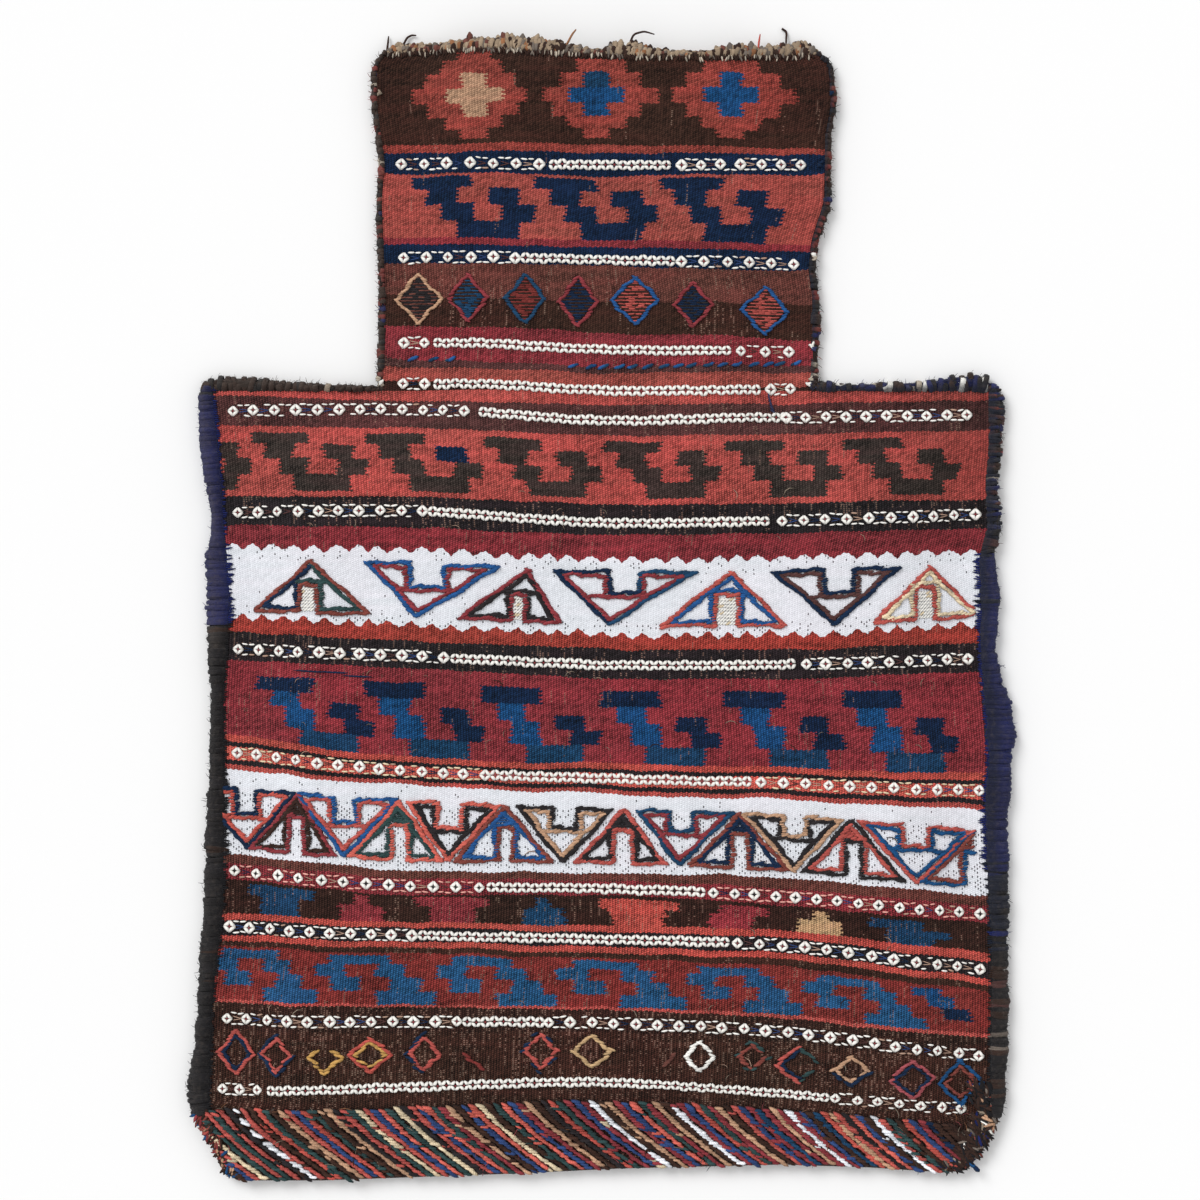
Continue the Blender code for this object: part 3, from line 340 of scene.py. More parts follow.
def weaveFinish():
    look = weaveLook
    wool = Finish("kilimWool", roughness=0.95, sheen=0.03)
    place = wool.place()
    x, y, _ = wool.split(place)
    rib, bead, _ = wool.uv("weave")
    beadStart = bead.floor()

    # One bead of weft on its rib
    ribNumber = (rib + 0.5).floor()
    across = rib - ribNumber
    lift = bead + ribNumber.modulo(2.0) * 0.5 + across * look["beadSlant"]
    beadNumber = lift.floor()
    along = lift - beadNumber - 0.5
    hump = (1.0 - across * across * look["ribRound"]) * (1.0 - along * along * look["beadRound"])

    # Two colours comb into each other, turn about
    least, varied = look["combReach"]
    tick = wool.attribute("comb", "Fac")
    turn = beadStart.modulo(2.0)
    ragged = wool.speck(wool.join(ribNumber, beadStart)) * varied
    reachRight = (tick - least - ragged) > 0.0
    reachLeft = (0.0 - tick - least - ragged) > 0.0
    comb = (reachRight * turn + reachLeft * (1.0 - turn)).clamped()
    yarn = wool.mix(comb, wool.attribute("yarnColour"), wool.attribute("neighbour"))

    # Dark pins between two ribs, every other bead
    gap = rib.floor()
    beside = rib - gap - 0.5
    pair = bead * 0.5 + gap.modulo(2.0) * 0.5
    pairNumber = pair.floor()
    within = pair - pairNumber - 0.5
    dot = (beside * beside * look["pinSize"] + within * within * look["pinSize"]) < 1.0
    chosen = (wool.attribute("pins", "Fac") - wool.speck(wool.join(gap * 1.7 + 3.0, pairNumber))) > 0.0
    yarn = wool.mix(chosen * dot * look["pinDark"], yarn, "black")

    # Flecks of bare warp where the cloth is worn
    narrow, short = look["warpThread"]
    worn = wool.attribute("worn", "Fac")
    patches = wool.noise(wool.scaled(place, look["wornPatches"]))
    runs = wool.speck(wool.join(gap * 1.3 + 5.0, (bead * 0.13 + gap * 0.37).floor()))
    step = bead - beadStart - 0.5
    thread = (beside * beside * narrow + step * step * short) < 1.0
    bare = wool.speck(wool.join(gap + 31.0, beadStart)) > look["warpHidden"]
    fleck = ((worn * (patches * 2.0) - runs) > 0.0) * thread * bare * (0.5 + worn * 0.5).clamped()
    yarn = wool.mix(fleck, yarn, "fleck")

    # Uneven dye, more of it on dark yarns than on white ones
    streaks = wool.noise(wool.scaled(place, look["streaks"]), detail=3.0) - 0.5
    warm = wool.scaled(yarn, look["warmth"])
    brightness = wool.node("ShaderNodeRGBToBW", inputs={"Color": yarn})
    contrast = 1.0 - (brightness * 1.02).clamped()
    hue = ((streaks + wool.noise(place, look["warmPatches"]) - 0.5) * 3.0 + 0.4).clamped()
    yarn = wool.mix(hue * contrast * look["warmShare"], yarn, warm)
    abrash = streaks * look["streakShade"] + (wool.noise(place, look["mottle"]) - 0.5) * look["mottleShade"]

    # Light and shade of the beads
    rate, most = look["opening"]
    grain = (wool.speck(wool.join(ribNumber, beadNumber)) - 0.5) * look["grain"]
    ribShade = (wool.speck(wool.join(ribNumber + 11.0, (bead * 0.05).floor())) - 0.5) * look["ribShade"]
    openness = 1.0 + (bead * rate).clamped() * most
    relief = (look["valley"] - 1.0 + hump * look["crown"]) * openness
    shade = 1.0 + (relief + abrash + (grain + ribShade) * 0.9) * contrast
    # Painted shade over the upper right of the cloth, stronger on dark yarns than on white ones
    (startX, startY), (rateX, rateY) = look["shadeFrom"], look["shadeRate"]
    shadedCorner = ((x - startX) * rateX).clamped() * ((y - startY) * rateY).clamped()
    colour = wool.dimmed(yarn, shade * (1.0 - shadedCorner * contrast * look["cornerShade"]))
    hair = wool.noise(wool.scaled(place, look["hair"]))
    height = (hump + hair * 0.35) * (contrast * 0.7 + 0.3)
    return wool.finish(colour, wool.bump(height, look["relief"]))


# Loose-laid yarns, such as the lozenges, outlines and ridges: two plies, and a little fuzz
stitchLook = {
    "twists": (9.0, 2.0),            # turns of the ply along the yarn and round it
    "fibre": (1500.0, 1500.0, 1500.0),
    "plyDepth": 0.22,
    "plyLight": 0.34,
    "fuzzLight": 0.4,
    "endShade": 0.5,
    "sideShade": 0.3,
    "relief": 0.0003,
}


def stitchFinish(name, ply=1.0, fuzz=1.0):
    look = stitchLook
    yarn = Finish(name, roughness=0.9, sheen=0.05)
    along, around, _ = yarn.uv("yarn")
    twist = along * look["twists"][0] + around * look["twists"][1]
    twist = (twist - twist.floor() - 0.5).abs() * 2.0
    base = yarn.mix(yarn.attribute("core", "Fac"), yarn.attribute("yarnColour"), yarn.attribute("knotColour"))
    fibre = yarn.noise(yarn.scaled(yarn.place(), look["fibre"]))
    ends = (along * 2.0 - 1.0).abs()
    sides = (around * 2.0 - 0.5).abs()
    shade = (1.0 - look["plyDepth"] * ply) + twist * (look["plyLight"] * ply)
    shade = shade + (fibre - 0.5) * (look["fuzzLight"] * fuzz)
    shade = shade * (1.12 - ends * ends * ends * (look["endShade"] * ply)) * (1.05 - sides * (look["sideShade"] * ply))
    height = twist * (0.5 * ply) + fibre * (0.7 * fuzz)
    return yarn.finish(yarn.dimmed(base, shade), yarn.bump(height, look["relief"], 0.8))


# Thick overcasting: felted wraps, with grey dust in patches, a painted highlight on their crowns that is stronger on
# the upper left, and painted shade on the right-hand wraps where they lie beside the cloth
overcastLook = {
    "fibre": (700.0, 2200.0, 900.0),
    "lint": (1400.0, 1900.0, 1200.0),
    "patches": 60.0,
    # scale of the grey dust patches that join the painted highlight
    "bloom": 420.0,
    "crownAt": 0.42,                 # share of the way round a wrap
    "crownWidth": 3.2,
    "crownLight": (0.06, 0.14),      # painted highlight everywhere, and what the upper left adds
    "leftUpTo": 0.02,
    # painted shade on the right-hand wraps beside the cloth: where it ends, how fast it fades, and how much
    "shadeAt": 0.26,
    "shadeWidth": 6.0,
    "shadeShare": 0.75,
    "rightUpTo": 0.16,
    "relief": 0.0008,
}


def overcastFinish():
    look = overcastLook
    wool = Finish("overcastWool", roughness=0.95, sheen=0.08)
    place = wool.place()
    x, y, _ = wool.split(place)
    along, _, _ = wool.uv("yarn")
    fibre = wool.noise(wool.scaled(place, look["fibre"]), detail=3.0)
    lint = wool.noise(wool.scaled(place, look["lint"]), detail=3.0)
    patch = wool.noise(place, look["patches"]) - 0.5
    shade = 0.35 + fibre * 0.55 + lint * 0.75 + patch * 0.6
    everywhere, added = look["crownLight"]
    # Painted highlight along each wrap's crown, stronger on the upper left, mixed towards grey together with patches
    # of dust
    crown = (1.0 - ((along - look["crownAt"]) * look["crownWidth"]).abs()).clamped()
    crown = crown * ((x < 0.0) * (y + look["leftUpTo"] > 0.0) * added + everywhere)
    bloom = ((wool.noise(place, look["bloom"]) - 0.5) * 4.0).clamped() * 0.16 + crown
    # Painted shade: the right-hand wraps turn slate on the part that lies beside the cloth
    shadedSide = (x > 0.0) * (y + look["rightUpTo"] > 0.0) * (1.0 - ((along - look["shadeAt"]) * look["shadeWidth"]).clamped())
    yarn = wool.mix(shadedSide * look["shadeShare"], wool.attribute("yarnColour"), "bindSlate")
    colour = wool.mix(bloom, wool.dimmed(yarn, shade), "grey")
    return wool.finish(colour, wool.bump(fibre + lint * 0.8, look["relief"]))


finishes = {
    "weave": weaveFinish(),
    "brocade": stitchFinish("brocadeYarn", ply=0.35, fuzz=0.6),
    "outlineYarn": stitchFinish("wrappedYarn", ply=0.9, fuzz=1.0),
    "ridgeYarn": stitchFinish("ridgeYarn", ply=0.88, fuzz=1.1),
    "overcast": overcastFinish(),
    "warpEnds": stitchFinish("warpEnds", ply=0.5, fuzz=1.3),
}
print("materials made:", len(finishes))


# The woven draft, from the mouth down. A strip is (its upper line, mesh rows, ground yarn, spans of other yarn).
def strip(line, rows, ground, spans=(), worn=0.015, pins=0.0):
    return {"line": line, "rows": rows, "ground": ground, "spans": spans, "worn": worn, "pins": pins}


# Running hooks: each row's start down the band, then its yarns in steps across
shallowStrip = 0.15      # a row of hooks that is a smaller share of its band than this gets one mesh row, not two
evenHook = (
    (0.0, ((0, 4, "bar"),)), (0.19, ((1, 3, "stem"), (5, 7, "inner"))), (0.45, ((2, 4, "stem"), (6, 8, "inner"))),
    (0.72, ((3, 7, "foot"),)),
)
droppedHook = (
    (0.0, ((0, 4, "bar"),)), (0.22, ((1, 3, "stem"),)), (0.34, ((1, 3, "stem"), (5, 7, "inner"))),
    (0.45, ((2, 4, "stem"), (5, 7, "inner"))), (0.55, ((2, 4, "stem"), (6, 8, "inner"))), (0.76, ((3, 7, "foot"),)),
)
turnedHook = (
    (0.0, ((1, 5, "bar"),)), (0.18, ((0, 2, "inner"), (4, 6, "stem"))), (0.44, ((1, 3, "inner"), (5, 7, "stem"))),
    (0.73, ((4, 8, "foot"),)),
)


def hookStrips(upper, lower, ground, yarn, shape, hooks, extra=(), worn=0.03):
    made = []
    ends = [start for start, _ in shape[1:]] + [1.0]
    for i, ((start, parts), end) in enumerate(zip(shape, ends)):
        spans = [(s + a * step, s + b * step, yarn if isinstance(yarn, str) else yarn[part])
                 for s, step in hooks for a, b, part in parts]
        spans += [(a, b, name) for place, a, b, name in extra if place == i]
        rows = 1 if end - start < shallowStrip else 2
        made.append(strip(between(upper, lower, start), rows, ground, spans, worn))
    return made


def scalloped(line, way, pitch=10.6, depth=3.4):  # rounded lobes towards the way, sharp points between
    sharpness, middle = 0.45, 0.55

    def at(x):
        x = np.asarray(x, float)
        share = np.mod((x + 1.6 * ripple(x, 0 * x, 31.0, 3)) / pitch, 1.0)
        lobe = blend(np.sin(math.pi * share), 1.0 - np.abs(2.0 * share - 1.0), sharpness)
        return line(x) + way * depth * (1.0 + 0.18 * ripple(x, 0 * x, 23.0, 8)) * (lobe - middle)
    return at


mouthLine = weftLine(0.3, -0.8, 2.2, 3.2, 0.5)
neckStrips = [
    strip(mouthLine, 1, "brown", [(-70.5, -54.5, "clay")]),
    strip(levelLine(5.0), 2, "brown", [(-79, -49.5, "clay"), (-12, 12.5, "clay"), (51.5, 78.5, "clay")]),
    strip(levelLine(11.5), 2, "brown", [(-88, -43, "clay"), (-69.5, -57, "beige"), (-20.5, 20, "clay"),
                                        (-8.5, 4, "teal"), (42.5, 89.5, "clay"), (59.5, 70.5, "blue")]),
    strip(levelLine(19), 2, "brown", [(-94.5, -38, "clay"), (-77.5, -49.5, "beige"), (-28.5, 28, "clay"),
                                      (-16.5, 12, "blue"), (35.5, 98, "clay"), (51.5, 78.5, "blue")]),
    strip(levelLine(26.5), 2, "brown", [(-86.5, -42, "clay"), (-69.5, -57, "beige"), (-25, 20, "clay"),
                                        (-8.5, 4, "blue"), (42.5, 89.5, "clay"), (59.5, 70.5, "blue")]),
    strip(levelLine(33.5), 2, "brown", [(-78, -49, "clay"), (-17, 12.5, "clay"), (49.5, 79.5, "clay")]),
    strip(levelLine(39.5), 2, "brown", [(-70.5, -56.5, "clay"), (-9, 4, "clay"), (58, 72, "clay")]),
    strip(levelLine(44.5), 1, "brown"),
    strip(weftLine(46.5, 47, 47.5, 48.5, 48), 1, "clay"),
    strip(weftLine(50.5, 51, 51.5, 52, 51), 3, "navy"),
    strip(weftLine(61, 62, 63, 62.5, 61.5), 1, "tile"),
    *hookStrips(weftLine(62.5, 63.3, 64.5, 64, 63), weftLine(93, 94, 95.5, 96, 97), "tile", "navy", evenHook,
                [(s, 7.75) for s in (-95, -33, 29.5)]),
    strip(weftLine(93, 94, 95.5, 96, 97), 1, "crimson"),
    strip(weftLine(96.5, 97.5, 99, 99.5, 100.5), 3, "navy"),
    strip(weftLine(106.2, 107, 108.2, 109.2, 109.8), 4, "umber", worn=0.12),
    strip(weftLine(122, 124, 126, 126.5, 127), 5, "brown", worn=0.16),
    strip(weftLine(137.5, 138.5, 141.5, 143, 145), 5, "crimson", worn=0.05),
    strip(weftLine(153, 156, 159, 158, 156.5), 1, "plum", worn=0.1),
    strip(weftLine(157, 159.5, 162, 161.5, 160), 2, "tile"),
    strip(weftLine(164.5, 166, 169, 169, 167), 1, "dark"),
]

bodyHooks = {
    "first": (weftLine(191, 192, 196, 195, 193), weftLine(220, 221, 224.5, 223.5, 221.5)),
    "third": (weftLine(313, 316, 320, 320.5, 320), weftLine(343, 353, 356.5, 358.5, 362)),
    "fifth": (weftLine(449.8, 452.4, 454.8, 460, 472.5), weftLine(475.5, 476.5, 477.6, 482, 493)),
    "blues": {"bar": "navy", "stem": "blue", "inner": "navy", "foot": "teal"},
}
wornLine = weftLine(477, 477.8, 479, 483.8, 495)
ridgeLine = weftLine(530, 528, 524.5, 530, 538.5)
whiteUpper = scalloped(weftLine(248, 250.5, 254.5, 254, 250.5), -1)
whiteLower = scalloped(weftLine(283, 287.5, 292, 292, 287), 1)
blackLine = weftLine(346.5, 356, 359.5, 361.5, 366)
whiteTop = weftLine(360, 367.5, 371.5, 374.5, 381)
whiteBottom = weftLine(402.5, 409.5, 411, 413.5, 423.5)
stepUpper, stepLower = weftLine(417, 422.5, 424, 429, 439), weftLine(432, 435.5, 437, 440, 452)
stepRows = (
    (0.0, ((-176, -143, "teal"), (-122.5, -115.5, "crimson"), (-92.5, -56.5, "crimson"), (-32.5, -25.5, "teal"),
           (-1.5, 38, "orange"), (60, 82.5, "crimson"), (106.5, 112.5, "sand"), (134.5, 160.5, "teal"))),
    (0.38, ((-170.5, -150.5, "teal"), (-130, -108, "crimson"), (-85, -63, "crimson"), (-38.5, -19.5, "teal"),
            (4.5, 32, "orange"), (54, 76, "crimson"), (98, 119, "sand"), (142.5, 175, "teal"))),
    (0.68, ((-170.5, -150.5, "teal"), (-130, -108, "crimson"), (-85, -63, "crimson"), (-39.5, -17, "teal"),
            (6.5, 31, "orange"), (54, 75.5, "crimson"), (98, 119.5, "sand"), (142.5, 166.5, "teal"))),
)
bodyStrips = [
    strip(levelLine(170), 1, "red"),
    strip(weftLine(172, 175.5, 177.5, 176.5, 174.5), 5, "plum", worn=0.12),
    strip(weftLine(187.5, 189, 193, 192, 190), 1, "red"),
    *hookStrips(*bodyHooks["first"], "red", "olive", evenHook,
                [(s, 7.3) for s in (-234, -175.5, -117.5, -58.5, 1, 62, 121)], [(1, -82, -66.5, "navy")]),
    strip(bodyHooks["first"][1], 1, "red"),
    strip(weftLine(223, 223.5, 227.5, 226.5, 224.5), 5, "black", worn=0.25),
    strip(weftLine(237.5, 239, 242.5, 241.5, 239), 3, "crimson", worn=0.05),
    strip(whiteUpper, 2, "white", worn=0.0, pins=0.12),
    strip(between(whiteUpper, whiteLower, 0.18), 7, "white", worn=0.0, pins=0.012),
    strip(between(whiteUpper, whiteLower, 0.82), 2, "white", worn=0.0, pins=0.24),
    strip(whiteLower, 2, "ember"),
    strip(weftLine(290.5, 295.5, 299.2, 299.2, 296.6), 4, "black", worn=0.25),
    strip(weftLine(305, 309, 314, 314, 311), 2, "crimson", worn=0.06),
    *hookStrips(*bodyHooks["third"], "crimson", bodyHooks["blues"], droppedHook,
                [(s, 7.4) for s in (-172.5, -117.5, -60, 0.5, 61.5, 120)], worn=0.06),
    strip(bodyHooks["third"][1], 1, "orange"),
    strip(blackLine, 1, "black"),
    strip(lowered(blackLine, 2.2), 2, "salmon"),
    strip(between(blackLine, whiteTop, 0.64), 1, "black"),
    strip(between(blackLine, whiteTop, 0.82), 1, "red"),
    strip(whiteTop, 3, "white", worn=0.0, pins=0.03),
    strip(between(whiteTop, whiteBottom, 0.22), 10, "white", worn=0.0, pins=0.38),
    strip(whiteBottom, 1, "umber", worn=0.05),
    strip(weftLine(407, 413.3, 415, 418.8, 428.5), 3, "crimson"),
    strip(weftLine(415, 421.5, 422.2, 427, 437), 1, "dark"),
    *[strip(between(stepUpper, stepLower, start), 2, "dark", spans, worn=0.2) for start, spans in stepRows],
    strip(stepLower, 1, "orange"),
    strip(weftLine(435.3, 438.3, 440.3, 443.6, 456.8), 3, "black"),
    strip(weftLine(442.7, 445.4, 447.5, 451.2, 464.8), 1, "orange"),
    strip(weftLine(445.8, 448.3, 450.8, 454.2, 468), 1, "brown", worn=0.14),
    strip(weftLine(448.4, 451, 453.4, 457.8, 471), 1, "brick", worn=0.1),
    *hookStrips(*bodyHooks["fifth"], "brick", "azure", turnedHook,
                ((-196, 6.8), (-142, 7.45), (-81.5, 7.45), (-22, 8.0), (42.5, 7.26), (100.6, 7.7)),
                ((0, 155.3, 170, "blue"), (1, 162.4, 177.3, "blue"), (2, 170.7, 185.5, "navy")), worn=0.14),
    strip(bodyHooks["fifth"][1], 1, "red", worn=0.1),
    strip(wornLine, 4, "dark", worn=0.4),
    strip(between(wornLine, ridgeLine, 0.25), 12, "brown", worn=0.42),
    strip(ridgeLine, 10, "dark", worn=0.3),
]

weaveGrid = {
    "columns": 572,          # two to each rib
    "neckFrom": 124,
    "neckTo": 442,
    "ribRelief": 0.00022,
    "combStep": 0.3,         # how far neighbouring ribs stagger a colour's edge, in mm
    "spanNudge": 0.7,        # how far a span's ends wander, in mm
    "beadPitch": 1.0,
    "coarseColumns": 12,     # the plain sides keep every 12th column and every 6th row
    "coarseRows": 6,
    "pocketInset": 6.0,
    "pocketGap": 0.0004,
    "foldBulge": (0.0016, 529.0, 6.0),       # how far, from which drop on, over which length
    "plainWear": 0.1,
    "backStripes": (("brown", 0), ("red", 60), ("brown", 75), ("navy", 112), ("brown", 124), ("red", 172),
                    ("brown", 190), ("navy", 235), ("crimson", 247), ("brown", 292), ("red", 345), ("brown", 362),
                    ("navy", 410), ("brown", 424), ("red", 470), ("brown", 486)),
}


# Row lines of the grid from the strips, and what each row of faces is painted
def gridRows(strips, lastLine):
    lines, rows = [], []
    tops = [s["line"] for s in strips] + [lastLine]
    for i, s in enumerate(strips):
        for k in range(s["rows"]):
            lines.append(between(tops[i], tops[i + 1], k / s["rows"]))
            rows.append(s)
    return lines, rows


def wander(x, drop):  # slow unevenness of the weft lines
    return 0.55 * ripple(x, drop, 46.0, 21) + 0.3 * ripple(x, drop, 14.0, 22)


shoulderLine = levelLine(layout["shoulderDrop"])
neckLines, neckPaint = gridRows(neckStrips, shoulderLine)
bodyLines, bodyPaint = gridRows(bodyStrips, foldLine)
gridLines = neckLines + bodyLines + [foldLine]
shoulderRow, foldRow = len(neckLines), len(gridLines) - 1
leftOutline = outline["left"] + outline["leftCorner"]
rightOutline = outline["right"] + outline["rightCorner"]


def betweenEdges(line, left, right, share, inset, x, rounds):  # where columns cross a line that meets sloping edges
    for _ in range(rounds):
        drop = line(x)
        x = blend(edgeAt(left, drop, inset), edgeAt(right, drop, -inset), share)
    return x, drop


def bodyRow(line, columns, inset=0.0, settle=1.0):
    share = columns / weaveGrid["columns"]
    x, drop = betweenEdges(line, leftOutline, rightOutline, share, inset, blend(-190.0, 192.0, share), 6)
    return x, line(x) + settle * wander(x, drop)


def neckRow(line, columns, inset=0.0):
    first, last = weaveGrid["neckFrom"], weaveGrid["neckTo"]
    shoulderX, _ = bodyRow(shoulderLine, np.array([first, last]), inset)
    left = outline["neckLeft"][:-1] + ((shoulderX[0] - inset, layout["shoulderDrop"]),)
    right = outline["neckRight"][:-1] + ((shoulderX[1] + inset, layout["shoulderDrop"]),)
    share = (columns - first) / (last - first)
    x, drop = betweenEdges(line, left, right, share, inset, blend(-110.0, 108.0, share), 4)
    return x, line(x) + wander(x, drop)


def gridRow(i, columns, inset=0.0):
    if i < shoulderRow:
        return neckRow(gridLines[i], columns, inset)
    line = lowered(foldLine, -inset) if i == foldRow else gridLines[i]
    return bodyRow(line, columns, inset, 0.0 if i in (shoulderRow, foldRow) else 1.0)


# The whole cloth as one closed surface: fine front, plain back, and the pocket's two inner faces
def makeBagCloth():
    grid = weaveGrid
    count, first, last = grid["columns"], grid["neckFrom"], grid["neckTo"]
    everyColumn = np.arange(count + 1)
    onRib = everyColumn % 2 == 0
    stagger = np.where(onRib, np.where(everyColumn // 2 % 2 == 0, 1.0, -1.0), 0.0) * grid["combStep"]
    relief = np.where(onRib, 1.0, -1.0) * grid["ribRelief"]
    points, corners, faces, faceRows = [], [], [], []     # a corner is a vertex's rib number and drop

    def addRow(x, drop, columns, height):
        start = len(points)
        for px, py, pz, c, d in zip(rowX(x), rowY(drop), height, columns, drop):
            points.append((float(px), float(py), float(pz)))
            corners.append((c / 2, d / grid["beadPitch"]))
        return dict(zip(columns.tolist(), range(start, len(points))))

    def addFace(face, paint):
        faces.append(face)
        faceRows.append(paint)

    # The front, painted rib by rib
    rows = []
    for i in range(foldRow + 1):
        columns = everyColumn[first:last + 1] if i < shoulderRow else everyColumn
        x, drop = gridRow(i, columns)
        if i not in (0, shoulderRow, foldRow):
            drop = drop + stagger[columns]
        rows.append(addRow(x, drop, columns, frontHeight(rowX(x), rowY(drop)) + relief[columns]))
    rng = np.random.default_rng(5)
    for upper, lower, paint in zip(rows, rows[1:], neckPaint + bodyPaint):
        columns = sorted(set(upper) & set(lower))
        ribs = [upper.get(min((c + 1) // 2 * 2, columns[-1]), upper[columns[-1]]) for c in columns[:-1]]
        middle = np.array([(points[v][0] - layout["centreX"]) * 1000 for v in ribs])
        yarn = np.full(len(middle), yarnNames.index(paint["ground"]))
        for x0, x1, name in paint["spans"]:
            nudge = rng.uniform(-grid["spanNudge"], grid["spanNudge"], 2)
            yarn[(middle > x0 + nudge[0]) & (middle < x1 + nudge[1])] = yarnNames.index(name)
        for k, c in enumerate(columns[:-1]):
            addFace((lower[c], lower[c + 1], upper[c + 1], upper[c]), (yarn, k, columns, paint["worn"], paint["pins"]))

    # Coarse rows and columns carry the back and the inside
    keepRows = sorted(set(range(0, foldRow + 1, grid["coarseRows"])) | {shoulderRow, foldRow})
    bodyColumns = sorted(set(range(0, count + 1, grid["coarseColumns"])) | {first, last, count})
    neckColumns = [c for c in bodyColumns if first <= c <= last]

    def plainSheet(height, inset):
        made = {}
        for i in keepRows:
            columns = np.array(neckColumns if i < shoulderRow else bodyColumns)
            x, drop = gridRow(i, columns, inset)
            made[i] = addRow(x, drop, columns, height(rowX(x), rowY(drop)))
        return made

    thick, inset = layout["clothThickness"], grid["pocketInset"]
    leastHigh = thick + grid["pocketGap"]
    back = plainSheet(lambda x, y: np.zeros_like(x), 0.0)
    pocketFloor = plainSheet(lambda x, y: np.full_like(x, thick), inset)
    pocketCeiling = plainSheet(lambda x, y: np.maximum(frontHeight(x, y) - thick, leastHigh), inset)

    for sheet, turn in ((back, -1), (pocketFloor, 1), (pocketCeiling, -1)):
        for upperRow, lowerRow in zip(keepRows, keepRows[1:]):
            upper, lower = sheet[upperRow], sheet[lowerRow]
            columns = sorted(set(upper) & set(lower))
            drop = corners[upper[columns[len(columns) // 2]]][1] * grid["beadPitch"] + 8
            name = [name for name, start in grid["backStripes"] if start <= max(drop, 0)][-1]
            for c0, c1 in zip(columns, columns[1:]):
                addFace((lower[c0], lower[c1], upper[c1], upper[c0])[::turn], name)

    # The edge runs down the left, round the fold and up the right, as (row, column)
    route = [(i, first) for i in range(shoulderRow)] + [(shoulderRow, c) for c in range(first, -1, -1)]
    route += [(i, 0) for i in range(shoulderRow + 1, foldRow + 1)] + [(foldRow, c) for c in range(1, count + 1)]
    route += [(i, count) for i in range(foldRow - 1, shoulderRow - 1, -1)]
    route += [(shoulderRow, c) for c in range(count - 1, last - 1, -1)]
    route += [(i, last) for i in range(shoulderRow - 1, -1, -1)]

    def wall(fine, coarse, steps, turn=1):  # from a fine loop to a coarse one that shares its corners
        held = [k for k, (i, c) in enumerate(steps) if i in coarse and c in coarse[i]]
        for k0, k1 in zip(held, held[1:]):
            face = [fine[k] for k in range(k0, k1 + 1)]
            face += [coarse[steps[k1][0]][steps[k1][1]], coarse[steps[k0][0]][steps[k0][1]]]
            addFace(tuple(face[::turn]), "dark")

    # Its belly stands out a little where the cloth turns under at the fold
    outer = [rows[i][c] for i, c in route]
    flatRoute = np.array([points[v] for v in outer])
    ahead = np.roll(flatRoute, -1, axis=0) - np.roll(flatRoute, 1, axis=0)
    outward = np.stack([ahead[:, 1], -ahead[:, 0]], axis=1)
    outward /= np.linalg.norm(outward, axis=1, keepdims=True)
    most, start, length = grid["foldBulge"]
    bulge = most * ease((np.array([corners[v][1] for v in outer]) * grid["beadPitch"] - start) / length)
    belly = []
    for v, out, amount in zip(outer, outward, bulge):
        x, y, z = points[v]
        belly.append(len(points))
        points.append((x + float(out[0] * amount), y + float(out[1] * amount), z * 0.5))
        corners.append(corners[v])
    for k in range(len(outer) - 1):
        addFace((outer[k], belly[k], belly[k + 1], outer[k + 1]), "dark")
    wall(belly, back, route, -1)

    # The pocket's seams, then the mouth's lips
    inner = [(i, c) for i, c in route if i in pocketFloor and c in pocketFloor[i]]
    for (i0, c0), (i1, c1) in zip(inner, inner[1:]):
        addFace((pocketCeiling[i0][c0], pocketCeiling[i1][c1], pocketFloor[i1][c1], pocketFloor[i0][c0]), "dark")
    wall([rows[0][c] for c in range(first, last + 1)], pocketCeiling, [(0, c) for c in range(first, last + 1)])
    for c0, c1 in zip(neckColumns, neckColumns[1:]):
        addFace((pocketFloor[0][c0], pocketFloor[0][c1], back[0][c1], back[0][c0]), "brown")
    for c, b, turn in ((first, belly[0], 1), (last, belly[-1], -1)):
        addFace((rows[0][c], pocketCeiling[0][c], pocketFloor[0][c], back[0][c], b)[::turn], "dark")

    mesh = bpy.data.meshes.new("bagCloth")
    mesh.from_pydata(points, [], faces, shade_flat=False)
    paintFaces(mesh, corners, faceRows)
    mesh.materials.append(finishes["weave"])
    return placePiece("bagCloth", mesh)


